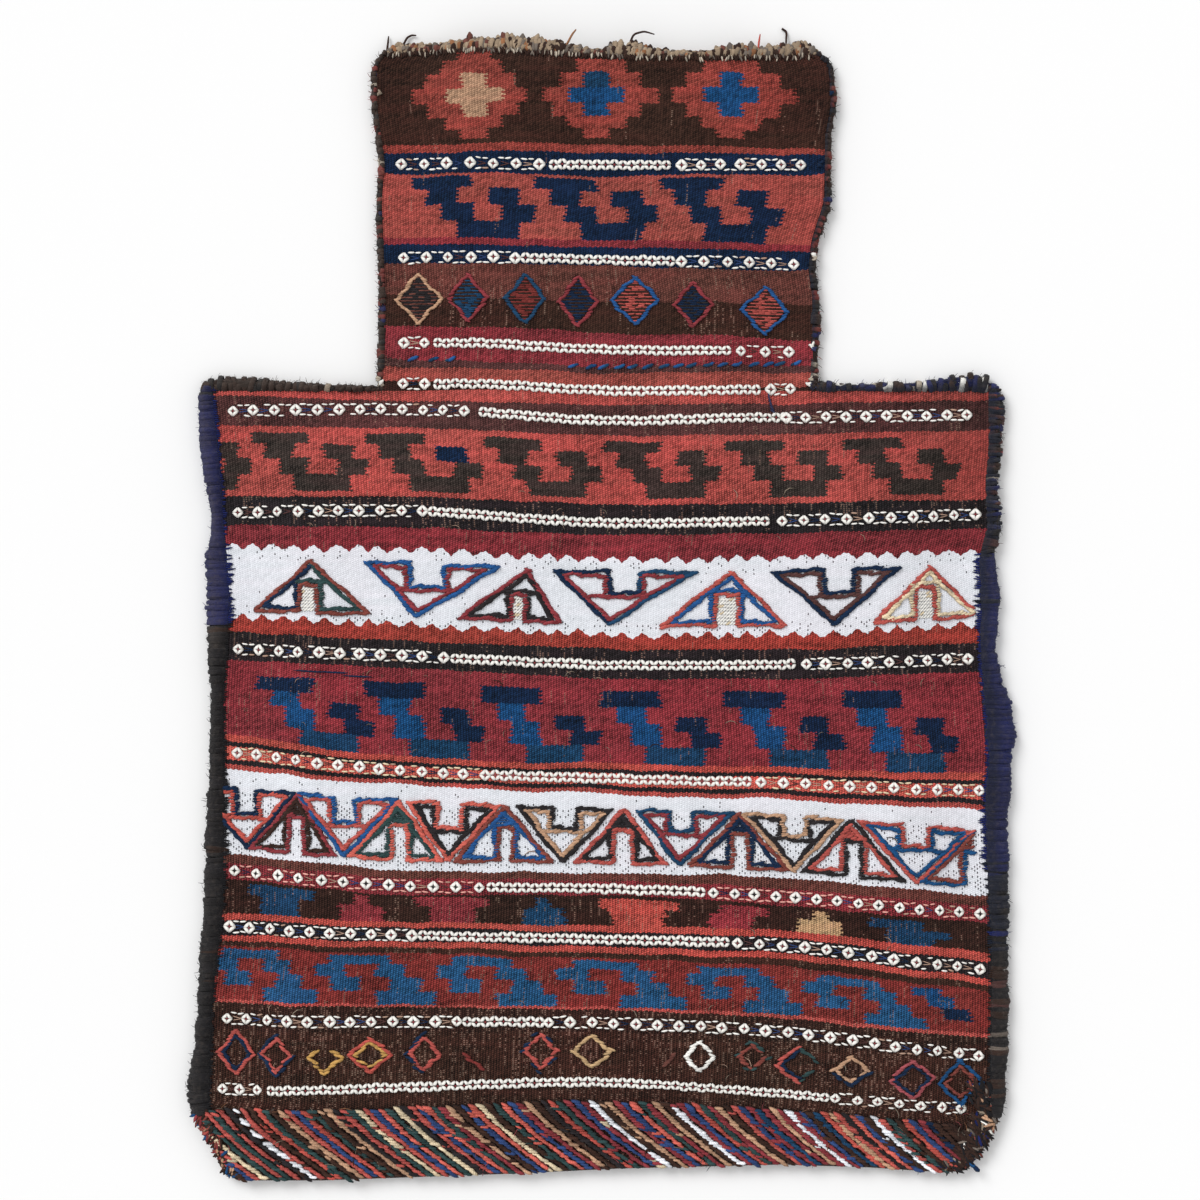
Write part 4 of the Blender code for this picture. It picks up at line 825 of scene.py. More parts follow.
def paintFaces(mesh, corners, faceRows):
    count = len(mesh.polygons)
    colour, neighbour = np.ones((count, 4)), np.ones((count, 4))
    worn, pins = np.full(count, weaveGrid["plainWear"]), np.zeros(count)
    comb = np.zeros(len(mesh.loops))
    for f, row in enumerate(faceRows):
        if isinstance(row, str):
            colour[f, :3] = neighbour[f, :3] = yarnColour(row)
            continue
        yarn, k, columns, wear, pinned = row
        own = yarn[k]
        colour[f, :3] = neighbour[f, :3] = yarnTable[own]
        worn[f], pins[f] = wear, pinned
        leftSide = columns[k] % 2 == 1          # the left half of its rib runs from an odd column to an even one
        right = min(k + (2 if leftSide else 1), len(yarn) - 1)
        left = max(k - (1 if leftSide else 2), 0)
        start = mesh.polygons[f].loop_start     # corners: lower left, lower right, upper right, upper left
        near, far = (0.0, 0.5) if leftSide else (0.5, 1.0)
        if yarn[right] != own:
            neighbour[f, :3] = yarnTable[yarn[right]]
            comb[start:start + 4] = (near, far, far, near)
        elif yarn[left] != own:
            neighbour[f, :3] = yarnTable[yarn[left]]
            comb[start:start + 4] = (near - 1, far - 1, far - 1, near - 1)
    addAttribute(mesh, "yarnColour", "FLOAT_COLOR", "FACE", colour)
    addAttribute(mesh, "neighbour", "FLOAT_COLOR", "FACE", neighbour)
    addAttribute(mesh, "worn", "FLOAT", "FACE", worn)
    addAttribute(mesh, "pins", "FLOAT", "FACE", pins)
    addAttribute(mesh, "comb", "FLOAT", "CORNER", comb)
    addUv(mesh, "weave", corners)


def addAttribute(mesh, name, kind, domain, values):
    field = {"FLOAT": "value", "FLOAT_VECTOR": "vector", "FLOAT_COLOR": "color"}[kind]
    mesh.attributes.new(name, kind, domain).data.foreach_set(field, np.ravel(values))


def addUv(mesh, name, places):  # one place for each vertex
    order = np.zeros(len(mesh.loops), int)
    mesh.loops.foreach_get("vertex_index", order)
    mesh.uv_layers.new(name=name).data.foreach_set("uv", np.array(places)[order].ravel())


pieces = []


def addToScene(name, data):
    made = bpy.data.objects.new(name, data)
    bpy.context.scene.collection.objects.link(made)
    return made


def placePiece(name, mesh, node=None):  # node is the solid that the piece stands for, if it is one of the edges
    piece = addToScene(name, mesh)
    pieces.append((piece, node))
    return piece


bagCloth = makeBagCloth()
print("cloth woven:", len(bagCloth.data.polygons), "faces")


# Geometry Nodes: lays one prototype at every point, turned and sized by the point's own attributes
def makeLayTree():
    tree = bpy.data.node_groups.new("layYarns", "GeometryNodeTree")
    sockets = (("Points", "Geometry"), ("Prototype", "Object"), ("Core", "Object"), ("Turn Variation", "Float"),
               ("Size Variation", "Float"), ("Seed", "Int"), ("Yarn", "Material"))
    for name, kind in sockets:
        tree.interface.new_socket(name, in_out="INPUT", socket_type="NodeSocket" + kind)
    tree.interface.new_socket("Laid", in_out="OUTPUT", socket_type="NodeSocketGeometry")
    given = tree.nodes.new("NodeGroupInput").outputs
    result = tree.nodes.new("NodeGroupOutput").inputs

    def node(kind, inputs, output=0, **settings):
        made = tree.nodes.new(kind)
        for key, value in settings.items():
            setattr(made, key, value)
        for key, value in inputs.items():
            if isinstance(value, bpy.types.NodeSocket):
                tree.links.new(value, made.inputs[key])
            else:
                made.inputs[key].default_value = value
        return made.outputs[output]

    def named(name):
        return node("GeometryNodeInputNamedAttribute", {"Name": name}, data_type="FLOAT_VECTOR")

    def maths(operation, first, second):
        return node("ShaderNodeMath", {0: first, 1: second}, operation=operation)

    def objectMesh(source):
        return node("GeometryNodeObjectInfo", {"Object": source}, "Geometry", transform_space="ORIGINAL")

    def randomValue(low, high):
        return node("FunctionNodeRandomValue", {2: low, 3: high, "Seed": given["Seed"]}, 1, data_type="FLOAT")

    prototype, core = objectMesh(given["Prototype"]), objectMesh(given["Core"])
    facing = node("FunctionNodeAxesToRotation", {"Primary Axis": named("up"), "Secondary Axis": named("along")},
                  primary_axis="Z", secondary_axis="X")
    turn = randomValue(maths("MULTIPLY", given["Turn Variation"], -1.0), given["Turn Variation"])
    twist = node("FunctionNodeEulerToRotation", {"Euler": node("ShaderNodeCombineXYZ", {"Z": turn})})
    facing = node("FunctionNodeRotateRotation", {"Rotation": facing, "Rotate By": twist}, rotation_space="LOCAL")
    grow = randomValue(maths("SUBTRACT", 1.0, given["Size Variation"]), maths("ADD", 1.0, given["Size Variation"]))
    size = node("ShaderNodeVectorMath", {0: named("size"), "Scale": grow}, operation="SCALE")
    laid = node("GeometryNodeInstanceOnPoints",
                {"Points": given["Points"], "Instance": prototype, "Rotation": facing, "Scale": size})
    joined = node("GeometryNodeJoinGeometry", {"Geometry": core})
    tree.links.new(node("GeometryNodeRealizeInstances", {"Geometry": laid}), joined.node.inputs[0])
    tree.links.new(node("GeometryNodeSetMaterial", {"Geometry": joined, "Material": given["Yarn"]}), result[0])
    return tree


layTree = makeLayTree()


# Yarns to lay, as rows of place, along, up, size, colour and knot colour
class YarnRun:
    def __init__(self, seed):
        self.rng = np.random.default_rng(seed)
        self.onFront = []     # x, drop, angle, length, width, height, lift, colour, knot colour
        self.free = []

    def lay(self, x, drop, angle, size, yarn, lift=0.0, spread=0.16, knot="crimson"):  # flat on the front
        colour = yarnColour(yarn) * (1 + self.rng.uniform(-spread, spread))
        self.onFront.append((x, drop, angle, *size, lift, *colour, *yarnColour(knot)))

    def stand(self, place, along, up, size, colour):  # anywhere
        self.free.append((*place, *along, *up, *size, *colour, *colour))

    def points(self):
        parts = []
        if self.onFront:
            x, drop, angle, length, width, height, lift, *colour = np.array(self.onFront).T
            px, py = rowX(x), rowY(drop)
            up = frontNormal(px, py)
            flatAlong = np.stack([np.cos(angle), np.sin(angle), np.zeros_like(angle)], axis=1)
            along = flatAlong - up * np.sum(flatAlong * up, axis=1, keepdims=True)
            place = px, py, frontHeight(px, py) + lift
            parts.append(np.column_stack([*place, along, up, length, width, height, *colour]))
        if self.free:
            parts.append(np.array(self.free))
        return np.vstack(parts)


def layYarns(name, run, prototype, finish, core=None, turn=0.0, vary=0.06, seed=1, node=None):
    table = run.points()
    place, along, up, size, yarn, knot = np.split(table, 6, axis=1)
    mesh = bpy.data.meshes.new(name)
    mesh.from_pydata(place.tolist(), [], [])
    for label, values in (("along", along), ("up", up), ("size", size)):
        addAttribute(mesh, label, "FLOAT_VECTOR", "POINT", values)
    for label, values in (("yarnColour", yarn), ("knotColour", knot)):
        addAttribute(mesh, label, "FLOAT_COLOR", "POINT", np.column_stack([values, np.ones(len(table))]))
    carrier = addToScene(name + "Points", mesh)
    layer = carrier.modifiers.new("layYarns", "NODES")
    layer.node_group = layTree
    chosen = {"Prototype": prototype, "Core": core, "Turn Variation": turn, "Size Variation": vary, "Seed": seed,
              "Yarn": finishes[finish]}
    for item in layTree.interface.items_tree:
        if item.in_out == "INPUT" and chosen.get(item.name) is not None:
            layer[item.identifier] = chosen[item.name]
    carrier.update_tag()
    bpy.context.view_layer.update()
    evaluated = carrier.evaluated_get(bpy.context.evaluated_depsgraph_get())
    laid = bpy.data.meshes.new_from_object(evaluated)
    laid.name = name
    bpy.data.objects.remove(carrier, do_unlink=True)
    if core is not None:
        bpy.data.objects.remove(core, do_unlink=True)
    placePiece(name, laid, node)
    print(name, "laid:", len(table), "yarns,", len(laid.polygons), "faces")


# Prototypes, a unit long where they can be, since each yarn brings its own size
def tubeFaces(rings, sides, way=1):  # way is -1 where the rings run clockwise
    pairs = [(s, (s + 1) % sides)[::way] for s in range(sides)]
    faces = [(k * sides + s, k * sides + t, (k + 1) * sides + t, (k + 1) * sides + s)
             for k in range(rings - 1) for s, t in pairs]
    return faces + [tuple(range(sides))[::-way], tuple(range((rings - 1) * sides, rings * sides))[::way]]


def sweep(path, radii, sides=6):
    path = np.array(path, float)
    count = len(path)
    ahead = np.gradient(path, axis=0)
    ahead /= np.linalg.norm(ahead, axis=1, keepdims=True)
    side = np.cross(ahead, (0.0, 0.0, 1.0))
    lengths = np.linalg.norm(side, axis=1, keepdims=True)
    upright = lengths <= 0.05
    side = np.where(upright, (0.0, 1.0, 0.0), side / np.maximum(lengths, 1e-9))
    top = np.cross(side, ahead)
    points, uvs = [], []
    for k in range(count):
        for s in range(sides):
            turn = math.tau * s / sides
            points.append(tuple(path[k] + (side[k] * math.cos(turn) + top[k] * math.sin(turn)) * radii[k]))
            uvs.append((k / (count - 1), s / sides))
    return points, tubeFaces(count, sides), uvs


def prototypeObject(name, parts, cores=(), colour=None):  # cores are the parts in the knot's colour
    points, faces, uvs, core = [], [], [], []
    for number, (partPoints, partFaces, partUvs) in enumerate(parts):
        start = len(points)
        points += partPoints
        uvs += partUvs
        core += [float(number in cores)] * len(partPoints)
        faces += [tuple(start + v for v in face) for face in partFaces]
    mesh = bpy.data.meshes.new(name)
    mesh.from_pydata(points, [], faces, shade_flat=False)
    outside = bmesh.new()
    outside.from_mesh(mesh)
    bmesh.ops.recalc_face_normals(outside, faces=outside.faces)
    outside.to_mesh(mesh)
    outside.free()
    addUv(mesh, "yarn", uvs)
    addAttribute(mesh, "core", "FLOAT", "POINT", core)
    if colour is not None:
        opaque = np.column_stack([np.array(colour), np.ones(len(points))])
        addAttribute(mesh, "yarnColour", "FLOAT_COLOR", "POINT", opaque)
    return bpy.data.objects.new(name, mesh)


def floatStitch():  # one yarn over the ribs: thick in the middle, and its ends dive into the cloth
    path = [(s, 0.0, 0.36 - 1.9 * s * s) for s in (-0.5, -0.24, 0.24, 0.5)]
    return prototypeObject("floatStitch", [sweep(path, (0.2, 0.47, 0.47, 0.2), sides=5)])


def petal(x0, y0, x1, y1, radius, height=0.12, bow=0.97):
    return sweep([(x0, y0, 0.0), ((x0 + x1) / 2 * bow, (y0 + y1) / 2 * bow, height), (x1, y1, 0.0)],
                 (radius * 0.55, radius, radius * 0.55))


def lozengeShape(name, tip, flank, radius, bow, knot):  # four fat petals round a knot of another yarn
    petals = [petal(x * tip[0], y * tip[1], x * flank[0], y * flank[1], radius, 0.14, bow)
              for x in (-1, 1) for y in (-1, 1)]
    return prototypeObject(name, [*petals, petal(-knot[0], 0.0, knot[0], 0.0, 0.095, knot[1])], cores=(4,))


def strandHair():
    path = [(-0.5, -0.08, 0.0), (-0.15, 0.06, 0.05), (0.2, 0.05, 0.05), (0.5, -0.1, 0.0)]
    return prototypeObject("strandHair", [sweep(path, (0.02, 0.03, 0.03, 0.012), sides=3)])


def wrapStrand():  # one turn of yarn over the edge, from the front round to the floor
    path = ((-0.1, 0.6), (0.02, 0.74), (0.22, 0.9), (0.5, 0.93), (0.8, 0.74), (0.93, 0.42), (0.82, 0.12), (0.5, 0.07),
            (0.1, 0.07))
    middle, thick, wide, sides = np.array((0.4, 0.0, 0.45)), 0.075, 0.62, 6
    points, uvs = [], []
    for k, (x, z) in enumerate(path):
        p = np.array((x, 0.0, z))
        out = (p - middle) / np.linalg.norm(p - middle)
        for s in range(sides):
            turn = math.tau * s / sides
            points.append(tuple(p + out * math.cos(turn) * thick + np.array((0, 1, 0)) * math.sin(turn) * wide))
            uvs.append((k / (len(path) - 1), s / sides))
    return prototypeObject("wrapStrand", [(points, tubeFaces(len(path), sides, -1), uvs)])


def warpStrand():  # one soft tuft of warp end, growing along X
    path = [(-0.12, 0.0, 0.0), (0.2, 0.02, 0.06), (0.55, 0.0, 0.08), (0.85, -0.04, 0.02), (1.0, -0.02, -0.06)]
    return prototypeObject("warpStrand", [sweep(path, (0.12, 0.22, 0.29, 0.27, 0.13))])


stitch, hair, wrap, warpEnd = floatStitch(), strandHair(), wrapStrand(), warpStrand()
lozenge = lozengeShape("looseLozenge", (0.02, 0.42), (0.42, 0.02), 0.155, 0.78, (0.09, 0.24))
link = lozengeShape("packedLozenge", (0.06, 0.36), (0.47, 0.1), 0.175, 0.92, (0.11, 0.22))  # joins in beaded rows

# White lozenge chains. A chain is its centre line, the runs of spaced or packed lozenges from one x to the next,
# and the yarns of its knots and dashes.
def chain(line, loose, packed, looseAgain, knot="crimson", dash="chalk"):
    return line, (("spaced", *loose), ("packed", *packed), ("spaced", *looseAgain)), knot, dash


chains = {
    "lozenge": (0.0062, 0.0060, 0.0042),
    "link": (0.0045, 0.0061, 0.0040),
    "spacing": 10.7,
    "packing": 4.4,
    "packedPast": 1.6,
    "dash": (0.0027, 0.0010, 0.0009),
    "dashDrop": 2.6,
    "dashAside": 1.75,
    "cross": (0.0042, 0.0005, 0.0005),       # two faint threads that cross between spaced lozenges
    "crossYarns": ["plum", "fleck", "navy", "dusk"],
    "lines": (
        chain(weftLine(56, 57, 58, 57.5, 56.5), (-100, -30.5), (-22, 31), (40, 100)),
        chain(weftLine(103.2, 103.8, 105.2, 106, 106.6), (-99, -42.5), (-36, 33), (40, 97)),
        chain(weftLine(145.5, 147, 150, 150.5, 150.5), (-99, -88.5), (-80, 61), (70, 94.5)),
        chain(weftLine(166, 167.5, 170.5, 170.5, 168.5), (-99, -88.5), (-80, 76), (85, 95)),
        chain(weftLine(180, 179.5, 185.5, 183.5, 182), (-185, -68), (-57, 90.5), (92.5, 184)),
        chain(weftLine(231, 230.8, 236.5, 235.5, 232), (-182.5, -89), (-82, 80), (90, 188)),
        chain(weftLine(299.5, 303, 307.3, 307, 304.5), (-182, -78.5), (-71, 93), (102, 184)),
        chain(weftLine(351.5, 360.3, 363.7, 366.3, 371), (-183, -58), (-51, 71), (80, 190), "rose", "cream"),
        chain(weftLine(411, 417.4, 418.6, 423, 432.8), (-184, -61), (-53, 48), (56, 190), "black", "blush"),
        chain(weftLine(439, 441.9, 443.9, 447.4, 460.8), (-186.5, -94), (-87, 60), (68, 190)),
        chain(weftLine(485, 485, 485.5, 490.5, 504), (-188, -72), (-65, -32), (-26, 190)),
        chain(weftLine(520.5, 517.5, 515, 521.5, 531), (-190, -172), (-163, 110), (117, 181)),
    ),
}


def layChains():
    loose, links, dashes = YarnRun(11), YarnRun(13), YarnRun(12)
    rng = loose.rng

    def layBetween(line, middle, tilt, yarn):
        centre = float(line(middle))
        for side in (-1, 1):
            for aside in (-chains["dashAside"], chains["dashAside"]):
                if rng.random() < 0.1:
                    continue
                away = chains["dashDrop"] + rng.uniform(-0.25, 0.25)
                angle = tilt + rng.uniform(-0.12, 0.12) - side * aside * 0.06
                dashes.lay(middle + aside, centre + side * away, angle, chains["dash"],
                           yarn if rng.random() < 0.93 else "fleck", 0.0003, 0.1)
        tint = rng.choice(chains["crossYarns"])
        for side in (-1, 1):
            angle = tilt + side * 0.2 + rng.uniform(-0.08, 0.08)
            dashes.lay(middle, centre + side * 0.5, angle, chains["cross"], tint, 0.0001)

    for line, runs, knot, dash in chains["lines"]:
        for kind, first, last in runs:
            spaced = kind == "spaced"
            if not spaced:
                first, last = first - chains["packedPast"], last + chains["packedPast"]
            run, pitch = (loose, chains["spacing"]) if spaced else (links, chains["packing"])
            long, wide, high = chains["lozenge" if spaced else "link"]
            steps = max(int(round((last - first) / pitch)), 1)
            gap = (last - first) / steps
            for i in range(steps + 1):
                x = first + gap * i + rng.uniform(-0.4, 0.4) * spaced
                drop = float(line(x)) + rng.uniform(-0.3, 0.3)
                tilt = -math.atan(float(line(x + 2) - line(x - 2)) / 4)
                grow = rng.uniform(0.9, 1.08)
                size = (long * (grow if spaced else 1.04), wide * grow, high)
                run.lay(x, drop, tilt + rng.uniform(-0.09, 0.09), size, "chalk", 0.0003, 0.05, knot)
                if spaced and i < steps:
                    layBetween(line, x + gap / 2, tilt, dash)
    layYarns("looseLozenges", loose, lozenge, "brocade", vary=0.02, seed=3)
    layYarns("packedLozenges", links, link, "brocade", turn=0.05, vary=0.02, seed=5)
    layYarns("chainDashes", dashes, stitch, "brocade", vary=0.12, seed=4)


layChains()


# Wrapped outlines: slanting stitches, longer where the line runs across and short bars where it runs down
outlineStitches = {      # turn with the line, turn added, size, pitch
    "down": (0.0, 0.1, (0.0026, 0.0014, 0.0013), 1.2),
    "slanting": (0.5, 0.0, (0.0038, 0.0019, 0.0014), 1.5),
    "across": (1.0, 0.32, (0.0036, 0.0018, 0.0014), 1.7),
}


def wrapLine(run, points, yarns, scale=1.0, gaps=0.0):
    points = np.array(points, float)
    for start, end in zip(points, points[1:]):
        span = end - start
        length = float(np.hypot(*span))
        if length < 0.3:
            continue
        flatness = abs(span[0]) / length
        slope = math.atan2(-span[1], span[0])
        if abs(slope) > math.pi / 2:
            slope -= math.copysign(math.pi, slope)
        way = "down" if flatness < 0.3 else "across" if flatness > 0.9 else "slanting"
        follow, turn, size, pitch = outlineStitches[way]
        steps = max(int(round(length / pitch)), 1)
        for i in range(steps):
            if run.rng.random() < gaps:
                continue
            share = (i + 0.5) / steps
            x, drop = start + span * share
            drift = 0.45 * math.sin(share * 5.1 + start[0]) + 0.3 * math.sin(share * 13.0 + start[1])
            x, drop = x + span[1] / length * drift, drop - span[0] / length * drift
            wobble = run.rng.uniform(-0.25, 0.25, 2)
            yarn = yarns if isinstance(yarns, str) else yarns[min(int(share * len(yarns)), len(yarns) - 1)]
            run.lay(x + wobble[0], drop + wobble[1], slope * follow + turn + run.rng.uniform(-0.16, 0.16),
                    [s * scale * run.rng.uniform(0.85, 1.12) for s in size], yarn, 0.0004, 0.24)


# A figure is centre, half width, way, outer yarn, inner yarn, apex shift, slot shift, slot half width, slot share
triangles = {
    "yarnStep": 1.8,         # from the outer line to the inner one
    "cutAt": (-190, 187),    # figures that run into the edges are cut off there
    "cutSlack": 1,
    "filling": {"pitch": (2.4, 1.1), "size": (0.0032, 0.0011, 0.0009), "within": 186},
    "check": {"pitch": (1.6, 1.7), "size": (0.0026, 0.0012, 0.0006), "within": 184},
    "upper": {
        "lines": (weftLine(254, 256.8, 261, 260.5, 257.5), weftLine(279.5, 282.8, 287, 287.5, 283)),
        "figures": (
            (-144.5, 28.5, "up", "rust", ("navy", "green"), 0, -1.3, 4.5, 0.52),
            (-84, 32.5, "down", "bright", "crimson", -8, -2.5, 8.7, 0.44),
            (-45.6, 24.5, "up", "crimson", "black", 9, 4.4, 3.4, 0.5),
            (12.2, 34.5, "down", ("navy", "teal"), "crimson", -8.7, -0.4, 7.5, 0.4),
            (60.5, 30.3, "up", "red", "bright", 4.6, 2.1, 5.8, 0.58),
            (117, 31.5, "down", "navy", "plum", -1.3, 1.5, 7.4, 0.42),
            (164, 27, "up", "red", "cream", 0, -2, 5.0, 0.62),
        ),
    },
    "lower": {
        "lines": (weftLine(369.5, 375.5, 379.3, 382.5, 391.5), weftLine(398.8, 404.2, 405.5, 409.5, 419)),
        "figures": (
            (-178, 24.9, "down", "navy", "orange", 0, 0, 5.2, 0.42),
            (-154, 21.4, "up", "crimson", "dark", 2.7, 2.1, 4.0, 0.62),
            (-126.2, 24.1, "down", "bright", "red", -2, -1.3, 5.5, 0.42),
            (-102.2, 22.3, "up", "salmon", "green", 1.3, 2, 4.0, 0.6),
            (-73.6, 22.4, "down", "salmon", "black", -2.7, -1.8, 6.2, 0.43),
            (-48.4, 23.9, "up", "rust", "bright", 0, 1, 3.6, 0.6),
            (-18.1, 23.3, "down", "black", "beige", -1, 0, 6.2, 0.37),
            (9.6, 22.4, "up", "red", "black", 1.7, 1.4, 4.8, 0.62),
            (41.9, 23.6, "down", "teal", "crimson", -3, -2, 5.6, 0.36),
            (68.8, 23.7, "up", "rust", "navy", 0, 0.4, 4.0, 0.63),
            (95.1, 24.1, "down", "beige", "black", 1, 1.3, 5.6, 0.36),
            (125.7, 25.2, "up", "black", "red", -1.4, 0, 4.0, 0.63),
            (157.5, 29.1, "down", "red", "blue", 0, -0.7, 6.8, 0.36),
            (187, 27.9, "up", "blue", "rust", 0, 0, 4.4, 0.62),
        ),
    },
}


def cutOff(ends):  # the part of a line that lies on the cloth, or nothing
    low, high = triangles["cutAt"]
    slack = triangles["cutSlack"]
    inside = [low - slack < x < high + slack for x, _ in ends]
    if all(inside) or not any(inside):
        return ends if inside[0] else []
    near, far = ends if inside[0] else ends[::-1]
    edge = low if far[0] < 0 else high
    return [near, (edge, blend(near[1], far[1], (edge - near[0]) / (far[0] - near[0])))]


def layTriangles(run, band):
    upper, lower = triangles[band]["lines"]
    filling, check = triangles["filling"], triangles["check"]
    for centre, half, way, outerYarn, innerYarn, apexShift, slotShift, slot, slotShare in triangles[band]["figures"]:
        height = float(lower(centre) - upper(centre))
        foot, sign = (lower, -1) if way == "up" else (upper, 1)

        def corner(point):
            x = centre + point[0]
            return x, float(foot(x)) + sign * point[1]

        outer = np.array([(-half, 0.0), (half, 0.0), (apexShift, height)])
        sides = np.array([math.dist(outer[(i + 1) % 3], outer[(i + 2) % 3]) for i in range(3)])
        middle = sides @ outer / sides.sum()
        for level, yarn in enumerate((outerYarn, innerYarn)):
            inset = level * triangles["yarnStep"]
            left, right, apex = middle + (outer - middle) * (1 - inset / middle[1])
            inner, top = slot + inset, height * slotShare + inset
            a, b = slotShift - inner, slotShift + inner
            path = (apex, left, (a, inset), (a, top), (b, top), (b, inset), right, apex)
            lines = list(zip(path, path[1:]))
            if level:
                rise = (top - inset) / (apex[1] - inset)
                wings = blend(left[0], apex[0], rise), blend(right[0], apex[0], rise)
                lines += [((wings[0], top), (a, top)), ((b, top), (wings[1], top))]
            for start, end in lines:
                tint = yarn if isinstance(yarn, str) else yarn[0 if start[0] + end[0] < 2 * slotShift else 1]
                wrapLine(run, cutOff([corner(start), corner(end)]), tint)
            if level and way == "up" and band == "lower":   # the tip over the slot is filled in
                across, down = filling["pitch"]
                for v in np.arange(top + 1.3, apex[1] - 1.6, down):
                    reach = (apex[1] - v) / (apex[1] - top)
                    first, last = (apex[0] + (wing - apex[0]) * reach * 0.7 for wing in wings)
                    for u in np.arange(first, last, across):
                        x, drop = corner((u + 0.8, v))
                        if abs(x) < filling["within"]:
                            run.lay(x, drop, run.rng.uniform(-0.2, 0.3), filling["size"], yarn, 0.0002, 0.3)
        if way == "up" and band == "upper":     # the slot shows a woven check
            across, down = check["pitch"]
            for u in np.arange(slotShift - slot + 1.8, slotShift + slot - 1.6, across):
                for v in np.arange(1.2, height * slotShare - 1.4, down):
                    x, drop = corner((u, v))
                    if abs(x) < check["within"]:
                        run.lay(x, drop, 0.6 + run.rng.uniform(-0.1, 0.1), check["size"],
                                "cream" if run.rng.random() < 0.12 else "chalk", 0.0001, 0.06)


# Diamonds of the neck: x, drop, half width, half height, outline, filling, stripes in it
neckDiamonds = (
    (-91.5, 124, 11.5, 12.5, "beige", "black", "umber"), (-66.5, 124, 9.5, 12, "crimson", "teal", "dark"),
    (-38, 124.5, 10, 12, "teal", "brick", "dark"), (-11.5, 126, 10, 12, "crimson", "navy", "dark"),
    (17, 125.5, 11.5, 12, "bright", "red", "dark"), (46, 127.5, 9.5, 11, "crimson", "navy", "black"),
    (82, 130, 12, 12, "bright", "red", "dark"),
)
# Diamonds near the base: x, drop, half width, half height, outer yarn, inner yarn, share of it worn away, and the
# sides worked, of which 0 runs from the top to the right and the others follow. A t means that its top is gone.
baseDiamonds = (
    (-183, 502, 9, 11, "red", "navy", 0.0, "0123"), (-162, 502, 9, 10.5, "navy", None, 0.15, "123"),
    (-162, 502, 7.2, 8.5, "red", None, 0.05, "0123"), (-137.5, 503, 7.8, 7.8, "yellow", None, 0.1, "t0123"),
    (-115, 501.5, 10, 9, "orange", "yellow", 0.12, "0123"), (-88, 501, 9.5, 10.5, "navy", None, 0.5, "23"),
    (-88, 501, 7.6, 8.2, "red", None, 0.06, "0123"), (-59, 501, 9, 8, "brick", None, 0.1, "2"),
    (-30, 499.5, 10, 10.5, "navy", "red", 0.65, "0123"), (-30, 499.5, 8.3, 8.0, "red", None, 0.1, "0123"),
    (-4.5, 499.5, 9.8, 7.6, "sand", None, 0.03, "0123"), (29, 500.5, 8, 8, "umber", None, 0.5, "1"),
    (49, 502, 7, 7.5, "chalk", None, 0.08, "0123"), (75, 502.5, 8.5, 8, "green", None, 0.7, "0123"),
    (75, 502.5, 6.4, 6, "rust", None, 0.3, "0123"), (98.5, 506.5, 11, 9.5, "red", "navy", 0.1, "23"),
    (98.5, 506.5, 10, 9.5, "green", None, 0.5, "01"), (124.5, 509.5, 9, 7, "beige", None, 0.1, "03"),
    (124.5, 509.5, 9.4, 8, "navy", "beige", 0.12, "12"), (155, 514, 11, 10, "rose", "navy", 0.1, "0123"),
    (180.2, 516.8, 10.6, 11.6, "blue", None, 0.02, "0123"), (180.2, 516.8, 7.6, 8, "rust", None, 0.08, "0123"),
)
diamondLook = {
    "fillPitch": (2.8, 0.85),
    "fillSize": (0.0036, 0.00095, 0.0008),
    "fillInset": (1.6, 1.0),
    "neckScale": 0.8,
    "outerScale": 0.9,
    "innerScale": 0.82,
    "innerTrim": 2.3,
}


def diamondPath(x, drop, wide, tall):
    return [(x, drop - tall), (x + wide, drop), (x, drop + tall), (x - wide, drop), (x, drop - tall)]


def layDiamonds(run):
    look = diamondLook
    across, down = look["fillPitch"]
    insetX, insetY = look["fillInset"]
    for x, drop, wide, tall, edge, filling, stripe in neckDiamonds:
        rows = int((tall - insetY) / down)
        for i in range(-rows, rows + 1):
            reach = (1 - abs(i) / (rows + 1)) * (wide - insetX)
            steps = max(int(2 * reach / across), 1)
            for k in range(steps):
                u = blend(-reach, reach, (k + 0.5) / steps)
                yarn = stripe if i % 2 and run.rng.random() < 0.7 else filling
                run.lay(x + u, drop + i * down, run.rng.uniform(-0.1, 0.1), look["fillSize"], yarn, 0.0002, 0.3)
        wrapLine(run, diamondPath(x, drop, wide, tall), edge, look["neckScale"])
    for x, drop, wide, tall, outer, inner, gaps, sides in baseDiamonds:
        for trim, yarn, scale in ((0.0, outer, look["outerScale"]), (look["innerTrim"], inner, look["innerScale"])):
            path = diamondPath(x, drop, wide - trim, tall - trim)
            if "t" in sides:
                path[0] = (x + wide * 0.5, drop - tall * 0.5)
                path[4] = (x - wide * 0.5, drop - tall * 0.5)
            for side in sides.strip("t") if yarn else "":
                wrapLine(run, path[int(side):int(side) + 2], yarn, scale, gaps + trim * 0.02)


looseDashes = {      # blue floats under the third chain of the neck, and three long navy ones on the red strip
    "line": weftLine(152.5, 155, 158, 157, 155),
    "at": (-96, -85, -76, *np.arange(-14, 100, 7.4)),
    "size": (0.0038, 0.0019, 0.0012),
    "yarns": ["bright", "blue", "teal"],
    "long": ((-145, 310.5), (-133, 311), (-121, 313)),
    "longSize": (0.013, 0.0010, 0.0006),
}


